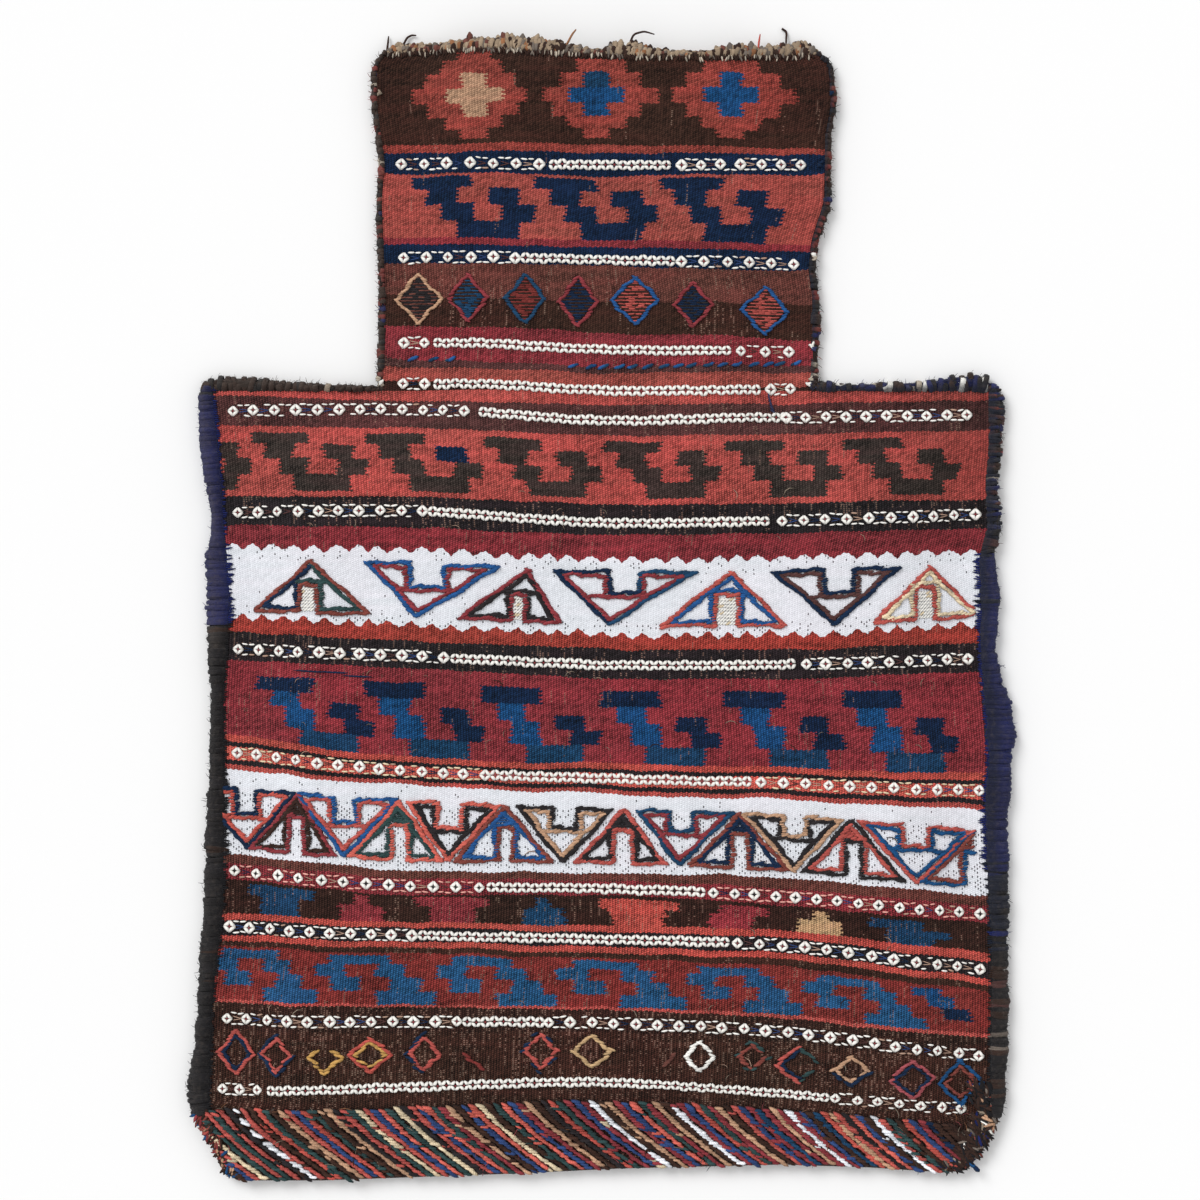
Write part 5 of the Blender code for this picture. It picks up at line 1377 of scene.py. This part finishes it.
def layLooseDashes(run):
    for x in looseDashes["at"]:
        x += run.rng.uniform(-1.0, 1.0)
        for step in range(2):
            drop = float(looseDashes["line"](x)) + 0.9 - step * 0.5
            run.lay(x + step * 1.5, drop, 0.35 + run.rng.uniform(-0.2, 0.2), looseDashes["size"],
                    run.rng.choice(looseDashes["yarns"]), 0.0003, 0.3)
    for x, drop in looseDashes["long"]:
        run.lay(x, drop, -0.05, looseDashes["longSize"], "navy", 0.0001)


for band in ("upper", "lower"):
    outlines = YarnRun(31)
    layTriangles(outlines, band)
    layYarns(band + "Outlines", outlines, stitch, "outlineYarn", vary=0.1, seed=6)
diamonds = YarnRun(32)
layDiamonds(diamonds)
layLooseDashes(diamonds)
layYarns("diamonds", diamonds, stitch, "outlineYarn", vary=0.1, seed=7)

# Base ridges: the yarns of those that start between one x and the next along the top
ridges = {
    "slant": (0.76, 1.38),   # across for each one down, at the top and once it has settled
    "settled": 30.0,
    "rowStep": 1.45,
    "stitch": (0.0045, 0.0020, 0.0024),
    "angle": -0.36,
    "edgeGap": 1.5,
    "frayed": (-199, 178),   # past these the yarns are mostly dirty and dark
    "broken": (-182.5, 531, 5.6, 0.22, 550),     # one white ridge comes and goes: start, drop, pitch, half length, end
    "top": ridgeLine,
    "runs": (
        (-228, "brown dark brown dusk red cream green red green red black"),
        (-182.5, "white red brown orange green brown beige red dusk orange green brown beige black red green"),
        (-120.25, "cream red dusk salmon green cream black red dusk salmon green crimson beige brown dusk salmon"),
        (-60, "cream brown green salmon dusk crimson beige brown black orange green crimson dusk crimson"),
        (-4, "white brown beige crimson dusk salmon green crimson beige brown"),
        (36, "white crimson dusk orange green crimson beige brown red dusk crimson teal crimson beige crimson"),
        (94.25, "white crimson dusk brown teal orange beige red black salmon dusk brown"),
        (137, "white red green brown orange dusk crimson navy brown brown dark"),
        (180, ""),
    ),
}


def layRidge(run, start, names, k):
    step, (steep, settledSlant) = ridges["rowStep"], ridges["slant"]
    brokenStart, brokenDrop, pitch, half, end = ridges["broken"]
    topDrop = float(ridges["top"](start))
    x, drop = start, topDrop + run.rng.uniform(0.2, 1.6)
    while True:
        left = float(edgeAt(leftOutline, drop)) + ridges["edgeGap"]
        right = float(edgeAt(rightOutline, drop)) - ridges["edgeGap"]
        if drop > float(foldLine(x)) + 0.5 or x > right:
            break
        turns = (drop - brokenDrop) / pitch
        missing = start == brokenStart and drop < end and abs(turns - round(turns)) > half
        if x > left and not missing:
            lump = run.rng.uniform(0.78, 1.14)
            frayed = x < ridges["frayed"][0] or x > ridges["frayed"][1]
            yarn = "dark" if frayed and run.rng.random() < 0.7 else names[k]
            if run.rng.random() < 0.05:
                yarn = names[(k + 1) % len(names)]
            sway = 0.5 * float(ripple(np.array(x), np.array(drop), 9.0, k))
            run.lay(x + sway, drop, ridges["angle"] + run.rng.uniform(-0.3, 0.3), [s * lump for s in ridges["stitch"]],
                    yarn, 0.0006, 0.28)
        drop += step
        x += step * float(blend(steep, settledSlant, min((drop - topDrop) / ridges["settled"], 1.0)))


ridgeYarns = YarnRun(41)
for (first, names), (last, _) in zip(ridges["runs"], ridges["runs"][1:]):
    names = names.split()
    for k in range(len(names)):
        layRidge(ridgeYarns, blend(first, last, k / len(names)), names, k)
layYarns("baseRidges", ridgeYarns, stitch, "ridgeYarn", vary=0.08, seed=8)


# Overcast edges: a padded core beside the cloth's edge, and strands wrapped over it
bindings = {
    "height": {"side": 0.0088, "shoulder": 0.0080, "neck": 0.0070},
    "wrapReach": 0.93,
    "wrapWidth": 0.0019,     # for each mm of pitch
    "stopPitch": 4.0,
    "shoulderStops": 30,
    "lumps": ((0.06, 19.0), (0.05, 5.0)),
    "tones": (0.2, 8.0),
    "core": ((-0.02, 0.1), (-0.02, 0.62), (0.3, 0.84), (0.62, 0.8), (0.84, 0.42), (0.7, 0.1)),
    "coreShade": 0.55,
    "coreStep": 3,
    "fuzz": (0.002, 0.0055),
    "stitch": (1.8, 3.6),    # the overcasting's own stitches reach this far into the cloth, in mm
    "whiteBands": ((249, 291), (366, 420)),
    "whiteReach": 1.5,
    # Widths down each edge, as (drop, width)
    "left": ((168, 4.4), (173, 6.9), (195, 7.7), (210, 7.2), (222, 5.6), (232, 5.2), (248, 7.4), (253, 10.2),
             (275, 9.8), (305, 7.4), (325, 5.2), (375, 7.2), (400, 8.2), (425, 8), (450, 8), (475, 6.2), (500, 7.2),
             (522, 9.8), (529, 9.2), (533, 7)),
    "right": ((168, 2.6), (171, 5.4), (175, 7.4), (189, 7.0), (199, 5.4), (211, 5.8), (218, 5.2), (222, 5.2),
              (227, 6.4), (240, 6.8), (248, 6.2), (255, 6.8), (257, 7.7), (272, 8.3), (282, 8.2), (293, 6.7), (300, 7),
              (320, 9.5), (325, 12), (341, 13), (355, 11), (375, 10), (400, 9.2), (425, 8.4), (470, 7.4), (500, 7.2),
              (526, 7.2), (534, 6)),
    "neckLeft": ((0, 2.2), (12, 3.0), (90, 3.2), (170, 3.8)),
    "neckRight": ((0, 2.0), (10, 3.0), (60, 3.2), (80, 4.2), (120, 3.4), (140, 4.4), (170, 3.6)),
    # Widths along each shoulder, at even steps
    "leftShoulder": (4.6, 7.2, 7.4, 6.2, 5.2, 4.4, 3.8, 3.2, 2.8, 2.6),
    "rightShoulder": (5.0, 3.8, 3.6, 3.8, 4.0, 4.6, 5.8, 7.6, 8.6, 1.4),
}
wrapMixes = {
    "navy": (("bindNavy", 0.97), ("bindSlate", 0.03)),
    "black": (("bindBlack", 0.96), ("bindBrown", 0.04)),
    "speckled": (("bindBlack", 0.2), ("bindNavy", 0.22), ("bindSlate", 0.13), ("plum", 0.14), ("bindBrown", 0.12),
                 ("crimson", 0.06), ("rust", 0.03), ("speckBlue", 0.06), ("pale", 0.04)),
    "bluish": (("bindBlack", 0.36), ("bindSlate", 0.6), ("bindNavy", 0.04)),
    "darkEnd": (("bindBlack", 0.6), ("bindBrown", 0.34), ("plum", 0.03), ("grey", 0.03)),
    "tufted": (("bindNavy", 0.32), ("bindBlack", 0.2), ("bindBrown", 0.22), ("speckBlue", 0.08), ("pale", 0.1),
               ("chalk", 0.08)),
    "brown": (("bindBrown", 0.55), ("dark", 0.27), ("bindBlack", 0.12), ("dust", 0.06)),
    "neck": (("bindBrown", 0.36), ("bindBlack", 0.18), ("dark", 0.14), ("bindNavy", 0.06), ("brick", 0.2),
             ("rust", 0.03), ("pale", 0.03)),
}
fuzz, edging = YarnRun(71), YarnRun(72)


def makeBinding(name, node, xs, drops, outward, widths, height, mix, seed, mess, pitch, late=(math.inf, None)):
    rng = np.random.default_rng(seed)
    run = YarnRun(seed)
    walk = np.concatenate([[0.0], np.cumsum(np.hypot(np.diff(xs), np.diff(drops)))])
    count = max(int(walk[-1] / pitch), 2)
    place = np.linspace(0, walk[-1], count)
    atX, atDrop = np.interp(place, walk, xs), np.interp(place, walk, drops)
    stops = np.stack([rowX(atX), rowY(atDrop)], axis=1)
    wide = np.interp(place, walk, widths) * 0.001
    out = np.array(outward, float)
    (much, wave), (less, shortWave) = bindings["lumps"]
    lumps = 1 + much * ripple(place, 0 * place, wave, seed) + less * ripple(place, 0 * place, shortWave, seed + 1)
    shift, toneWave = bindings["tones"]
    tone = 1 + shift * ripple(place, 0 * place, toneWave, seed + 2)
    lateDrop, lateMix = late
    for k in range(count):
        if atDrop[k] > lateDrop:
            mix = wrapMixes[lateMix]
        if k % 2 == 0 or rng.random() < mess:
            yarn = pick(rng, mix)
        colour = yarnColour(yarn) * tone[k] * rng.uniform(0.93, 1.07)
        lean = rng.uniform(-1, 1) * (0.07 + 0.45 * mess)
        w = wide[k] * lumps[k] * rng.uniform(0.97 - 0.28 * mess, 1.03 + 0.15 * mess)
        tall = height * lumps[k] * rng.uniform(0.96 - 0.25 * mess, 1.04)
        along = (out[0] + out[1] * lean, out[1] + out[0] * lean, 0.0)
        run.stand((*stops[k], 0.0), along, (0, 0, 1), (w, pitch * bindings["wrapWidth"], tall), colour)
        for _ in range(2):
            spot = stops[k] + out * w * rng.uniform(0.5, 0.95)
            length = rng.uniform(*bindings["fuzz"])
            spot = (*spot, height * rng.uniform(0.25, 0.85))
            along = (*(out + rng.uniform(-1.2, 1.2, 2)), rng.uniform(-0.2, 0.4))
            fuzz.stand(spot, along, (0.1, 0, 1), (length,) * 3, colour * rng.uniform(0.9, 1.9))
        if out[0] and mess < 0.3 and rng.random() < 0.8:
            besideWhite = any(low < atDrop[k] < high for low, high in bindings["whiteBands"])
            length = rng.uniform(*bindings["stitch"]) * (bindings["whiteReach"] if besideWhite else 1.0)
            edging.lay(atX[k] - out[0] * length * 0.3, atDrop[k], rng.uniform(-0.22, 0.22),
                       (length * 0.001, 0.0011, 0.0011), yarn, 0.0002, 0.25)

    # The core under the wraps
    section = bindings["core"]
    points, uvs = [], []
    keep = [*range(0, count - 1, bindings["coreStep"]), count - 1]
    for k in keep:
        for a, b in section:
            p = stops[k] + out * (a * wide[k] * lumps[k] + 0.0002)
            points.append((float(p[0]), float(p[1]), b * height))
            uvs.append((k / 40, a))
    tints = [yarnColour(mix[0][0]) * bindings["coreShade"]] * len(points)
    faces = tubeFaces(len(keep), len(section), -1 if out[0] < 0 else 1)
    core = prototypeObject(name + "Core", [(points, faces, uvs)], colour=tints)
    layYarns(name, run, wrap, "overcast", core=core, turn=0.05, vary=0.03, seed=seed, node=node)


# Name, its solid, edge, way out, first and last drop, mix, mess, pitch, seed, and the mix past a drop
for name, node, edge, out, top, bottom, mix, mess, pitch, seed, *late in (
    ("leftUpperBinding", "left_side_binding_upper", "left", -1, 168.6, 315.0, "navy", 0.0, 1.05, 51,
     286.0, "black"),
    ("leftLowerBinding", "left_side_binding_lower", "left", -1, 315.0, 532.0, "black", 0.1, 1.05, 52),
    ("rightUpperBinding", "right_side_binding_upper", "right", 1, 168.6, 252.0, "speckled", 0.45, 0.85, 53),
    ("rightMiddleBinding", "right_side_binding_middle", "right", 1, 252.0, 410.0, "navy", 0.0, 1.05, 54),
    ("rightLowerBinding", "right_side_binding_lower", "right", 1, 410.0, 533.5, "bluish", 0.1, 1.05, 55,
     452.0, "darkEnd"),
    ("leftNeckBinding", "left_neck_binding", "neckLeft", -1, 0.3, 169.5, "neck", 0.75, 1.1, 58),
    ("rightNeckBinding", "right_neck_binding", "neckRight", 1, 0.3, 169.5, "neck", 0.75, 1.1, 59),
):
    stops = max(int(round((bottom - top) / bindings["stopPitch"])), 1)
    drops = np.arange(top, bottom + 1e-6, (bottom - top) / stops)
    widths = np.interp(drops, *np.array(bindings[edge]).T) / bindings["wrapReach"]
    height = bindings["height"]["neck" if edge.startswith("neck") else "side"]
    makeBinding(name, node, edgeAt(outline[edge], drops), drops, (out, 0.0), widths, height,
                wrapMixes[mix], seed, mess, pitch, late or (math.inf, None))

for name, node, edge, x0, x1, mix, seed in (
    ("leftShoulderBinding", "left_shoulder_binding", "leftShoulder", -200.0, -112.5, "brown", 56),
    ("rightShoulderBinding", "right_shoulder_binding", "rightShoulder", 108.7, 199.5, "tufted", 57),
):
    count = bindings["shoulderStops"]
    given = bindings[edge]
    widths = np.interp(np.linspace(0, 1, count), np.linspace(0, 1, len(given)), given) / bindings["wrapReach"]
    drops = np.full(count, layout["shoulderDrop"])
    makeBinding(name, node, np.linspace(x0, x1, count), drops, (0.0, 1.0), widths, bindings["height"]["shoulder"],
                wrapMixes[mix], seed, 0.8, 1.3)
print("edges overcast")


# Frayed corners, knots at the edges, and stray hairs
frays = {
    "corners": (
        {"from": ((195, 518), (198.5, 534), (193.5, 545), (187.5, 553), (181, 559.5)), "count": 430,
         "away": (-11.0, 1.2), "length": (0.0032, 0.0066), "lean": -0.9, "way": 1,
         "yarns": (("bindBrown", 0.34), ("dark", 0.14), ("bindBlack", 0.3), ("grey", 0.07), ("bindNavy", 0.05),
                   ("dust", 0.03), ("beige", 0.02), ("rust", 0.04), ("chalk", 0.01))},
        {"from": ((-203.5, 532), (-199, 541), (-193, 549.5), (-189.5, 559), (-184, 563)), "count": 190,
         "away": (-3.0, 1.2), "length": (0.0026, 0.0050), "lean": -2.3, "way": -1,
         "yarns": (("bindBrown", 0.4), ("rust", 0.16), ("crimson", 0.12), ("blue", 0.1), ("dark", 0.12), ("red", 0.06),
                   ("beige", 0.04))},
    ),
    "knots": (   # x, drop, yarn
        (106.5, 102, "chalk"), (107.5, 103.5, "pale"), (106, 147, "chalk"), (107, 149, "speckBlue"),
        (104, 166.5, "chalk"), (105, 163.5, "pale"), (106.5, 168, "speckBlue"), (-110, 166, "chalk"),
        (-112, 164, "pale"), (198.2, 505.8, "chalk"), (199.8, 505.2, "chalk"), (195.4, 541.7, "chalk"),
        (193, 525, "pale"), (190.8, 533, "grey"), (186.8, 550, "beige"), (202, 461, "chalk"), (201, 505, "pale"),
        (-111, 20, "dust"), (116, 21, "navy"), (110, 56, "navy"),
    ),
    "knotSize": (0.0022, 0.0013, 0.0012),
    "hairs": (
        {"count": 330, "x": (-194, 184), "drop": (528, 560), "length": (0.003, 0.007), "shape": (1.0, 1.0, 1.0),
         "lift": 0.0016, "yarns": ["tan", "dust", "dark", "rose", "green"]},
        {"count": 110, "x": (-180, 180), "drop": (-6, 6), "rows": [226, 241, 312, 340, 350, 395, 445, 480, 510],
         "length": (0.003, 0.006), "shape": (1.0, 1.6, 0.7), "lift": 0.0002, "yarns": ["fleck", "dust", "dark"]},
    ),
}


def layFrays():
    rng = edging.rng
    for corner in frays["corners"]:
        spots = np.array(corner["from"], float)
        for _ in range(corner["count"]):
            share = rng.uniform(0, len(spots) - 1)
            x, drop = (np.interp(share, np.arange(len(spots)), spots[:, i]) for i in (0, 1))
            x += rng.uniform(*corner["away"]) * corner["way"]
            size = (rng.uniform(*corner["length"]), 0.0017, 0.0015)
            edging.lay(x, drop + rng.uniform(-2, 2), corner["lean"] + rng.normal(0, 0.55), size,
                       pick(rng, corner["yarns"]), rng.uniform(0.0, 0.0014), 0.3)
    for x, drop, yarn in frays["knots"]:
        for _ in range(4):
            edging.lay(x + rng.uniform(-0.7, 0.7), drop + rng.uniform(-0.9, 0.9), rng.uniform(-1.2, 1.2),
                       frays["knotSize"], yarn, 0.0007, 0.08)
    for step in range(6):      # a thick end hangs loose at the lower right, and a thin one under the neck
        edging.lay(183 + step * 1.1, 555 + step * 1.1, -0.8, (0.0032, 0.0026, 0.0015), "blue" if step < 4 else "navy",
                   0.0008, 0.2)
        edging.lay(84 + step * 0.4, 173 + step * 1.5, -1.3 + 0.15 * step, (0.0026, 0.0009, 0.0009), "speckBlue",
                   0.0007, 0.15)
    for hairs in frays["hairs"]:
        for _ in range(hairs["count"]):
            x = rng.uniform(*hairs["x"])
            drop = (rng.choice(hairs["rows"]) if "rows" in hairs else 0) + rng.uniform(*hairs["drop"])
            size = np.array(hairs["shape"]) * rng.uniform(*hairs["length"])
            fuzz.lay(x, drop, rng.uniform(-1.5, 1.5), size, rng.choice(hairs["yarns"]), hairs["lift"])


layFrays()


# Mouth: soft warp ends standing out of both cloths, and a few loose yarns
tufts = {
    "pitch": 0.85,
    "size": (0.0054, 0.0044),
    "shortest": 0.002,
    "frontSunk": (0.0021, 0.0013, 0.0006),   # each layer's depth under the front's face
    "backHeight": (0.0011, 0.0019),
    "layerShare": 0.17,      # how much shorter each layer is than the one before
    # How far the tufts reach, as (x, drop)
    "tops": ((-109, 1), (-106, -4), (-100.5, -6), (-88, -5), (-75, -6.5), (-60.5, -8), (-48, -9.5), (-30.5, -8),
             (-20.5, -6), (-12, -3), (-5.5, -1.5), (1, -1.5), (7, -5.5), (14.5, -5.5), (22, -4), (29.5, -2), (44.5, 0),
             (55, -1.5), (67, -5), (77, -3.5), (87, -5), (98, -7.5), (104, -6), (109, 0)),
    "yarns": (("warpEnd", 0.5), ("tan", 0.06), ("grey", 0.14), ("umber", 0.08), ("bindBrown", 0.22)),
    "feet": (("dark", 0.4), ("brown", 0.2), ("grey", 0.15), ("pale", 0.25)),
    "looseYarns": (   # (x, drop) points, the yarn
        (((-107.8, 1), (-107.3, -5), (-107, -9.2)), "dark"),
        (((-100.5, -2), (-97.8, -8.2), (-95.5, -9.6), (-92.9, -9.4)), "dark"),
        (((-18, -1), (-14.5, -8.2), (-12.4, -11)), "tan"),
        (((13.5, -1), (16.2, -8.4), (21.6, -10), (27.1, -8.2)), "dark"),
        (((78.6, 1), (79.2, -5), (80, -9.5)), "orange"),
        (((91, -13), (93.6, -11.5), (93.2, -6), (93, 0)), "dark"),
    ),
    "looseRadius": 0.0006,
    "looseSteps": 14,
}


def smoothed(values):
    return np.convolve(np.pad(values, 1, "edge"), (0.25, 0.5, 0.25), "valid")


def looseTube(points):
    count = tufts["looseSteps"]
    steps, index = np.linspace(0, len(points) - 1, count), np.arange(len(points))
    x, drop = [smoothed(np.interp(steps, index, values)) for values in np.array(points, float).T]
    rooted = frontHeight(rowX(x), rowY(np.full(count, 1.0)))
    height = rooted - 0.0012 - 0.0045 * np.clip(-drop / 12, 0, 1)      # hangs down from the mouth's edge
    path = np.stack([rowX(x), rowY(drop), height], axis=1)
    radii = [tufts["looseRadius"] * (1 - 0.5 * (k / (count - 1)) ** 3) for k in range(count)]
    return sweep(path, radii, sides=5)


def makeMouth(name, node, onFront, seed):
    run = YarnRun(seed)
    rng = run.rng
    left, right = outline["neckLeft"][0][0], outline["neckRight"][0][0]
    topX, topDrops = np.array(tufts["tops"]).T
    for layer in range(3 if onFront else 2):
        for x in np.arange(left + 0.6, right - 0.4, tufts["pitch"]):
            x = x + rng.uniform(-0.4, 0.4)
            foot = float(mouthLine(x)) + 0.5
            clump = 0.86 + 0.14 * float(ripple(np.array(x), np.array(layer * 3.0), 6.0, seed + 7))
            reach = (foot - float(np.interp(x, topX, topDrops))) * 0.001 * clump * rng.uniform(0.75, 1.08)
            reach = max(reach * (1.0 - tufts["layerShare"] * layer), tufts["shortest"])
            top = float(frontHeight(rowX(x), rowY(0.5)))
            z = top - tufts["frontSunk"][layer] if onFront else tufts["backHeight"][layer]
            colour = yarnColour(pick(rng, tufts["yarns"])) * rng.uniform(0.75, 1.15)
            lean = rng.uniform(-0.5, 0.5) + 0.35 * math.sin(x / 2.1 + layer)
            run.stand((float(rowX(x)), float(rowY(foot)), z), (lean, 1.0, rng.uniform(-0.15, 0.1)), (0, 0, 1),
                      (reach, *tufts["size"]), colour)
            if onFront and layer == 2:
                edging.lay(x, foot + rng.uniform(-0.2, 1.4), 1.57 + rng.uniform(-0.5, 0.5), (0.0024, 0.0010, 0.0010),
                           pick(rng, tufts["feet"]), 0.0002, 0.3)
    core = None
    if onFront:
        parts = [looseTube(points) for points, _ in tufts["looseYarns"]]
        tints = [yarnColour(yarn) for (_, yarn), part in zip(tufts["looseYarns"], parts) for _ in part[0]]
        core = prototypeObject("looseYarns", parts, colour=tints)
    layYarns(name, run, warpEnd, "warpEnds", core=core, turn=0.1, vary=0.12, seed=seed, node=node)


makeMouth("frontMouthTufts", "front_mouth_fringe", True, 61)
makeMouth("backMouthTufts", "back_mouth_fringe", False, 62)

layYarns("edgeStitches", edging, stitch, "outlineYarn", vary=0.1, seed=73)
layYarns("looseHairs", fuzz, hair, "outlineYarn", turn=0.3, vary=0.3, seed=74)

for prototype in (stitch, hair, wrap, warpEnd, lozenge, link):
    bpy.data.objects.remove(prototype, do_unlink=True)

for piece, node in pieces:
    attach(piece, "root")
    if node:
        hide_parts(node)
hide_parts("bag_cloth")


# Floor, light and camera
studio = {
    "floorHalf": 6.0,
    "floorHeight": -0.0002,
    "floorColour": (0.96, 0.96, 0.96, 1.0),
    "skyColour": (1.0, 1.0, 1.0, 1.0),
    "skyStrength": 0.68,
    "sunEnergy": 1.65,
    "sunAngle": 0.5,
    "sunDirection": (0.55, -0.6, -0.75),
    "lens": 85.0,
    "widthSeen": 0.600,
    "lookAt": (-0.5, 275.0, 0.012),      # x, drop and height
}


def makeStudio():
    half, low = studio["floorHalf"], studio["floorHeight"]
    mesh = bpy.data.meshes.new("floor")
    corners = [(-half, -half, low), (half, -half, low), (half, half, low), (-half, half, low)]
    mesh.from_pydata(corners, [], [(0, 1, 2, 3)])
    paper = Finish("paleFloor", roughness=0.95, sheen=0.0)
    paper.shader.inputs["Base Color"].default_value = studio["floorColour"]
    mesh.materials.append(paper.material)
    addToScene("floor", mesh)

    scene = bpy.context.scene
    scene.world = bpy.data.worlds.new("studio")
    scene.world.use_nodes = True
    sky = scene.world.node_tree.nodes["Background"]
    sky.inputs["Color"].default_value = studio["skyColour"]
    sky.inputs["Strength"].default_value = studio["skyStrength"]

    sun = bpy.data.lights.new("windowLight", "SUN")
    sun.energy = studio["sunEnergy"]
    sun.angle = studio["sunAngle"]
    lamp = addToScene("windowLight", sun)
    lamp.rotation_euler = Vector(studio["sunDirection"]).to_track_quat("-Z", "Y").to_euler()

    camera = bpy.data.cameras.new("camera")
    camera.lens = studio["lens"]
    camera.clip_end = 50.0
    x, drop, z = studio["lookAt"]
    distance = studio["widthSeen"] * camera.lens / camera.sensor_width
    scene.camera = addToScene("camera", camera)
    scene.camera.location = (float(rowX(x)), float(rowY(drop)), z + distance)
    scene.view_settings.view_transform = "Standard"


makeStudio()
print("studio ready,", len(pieces), "pieces")
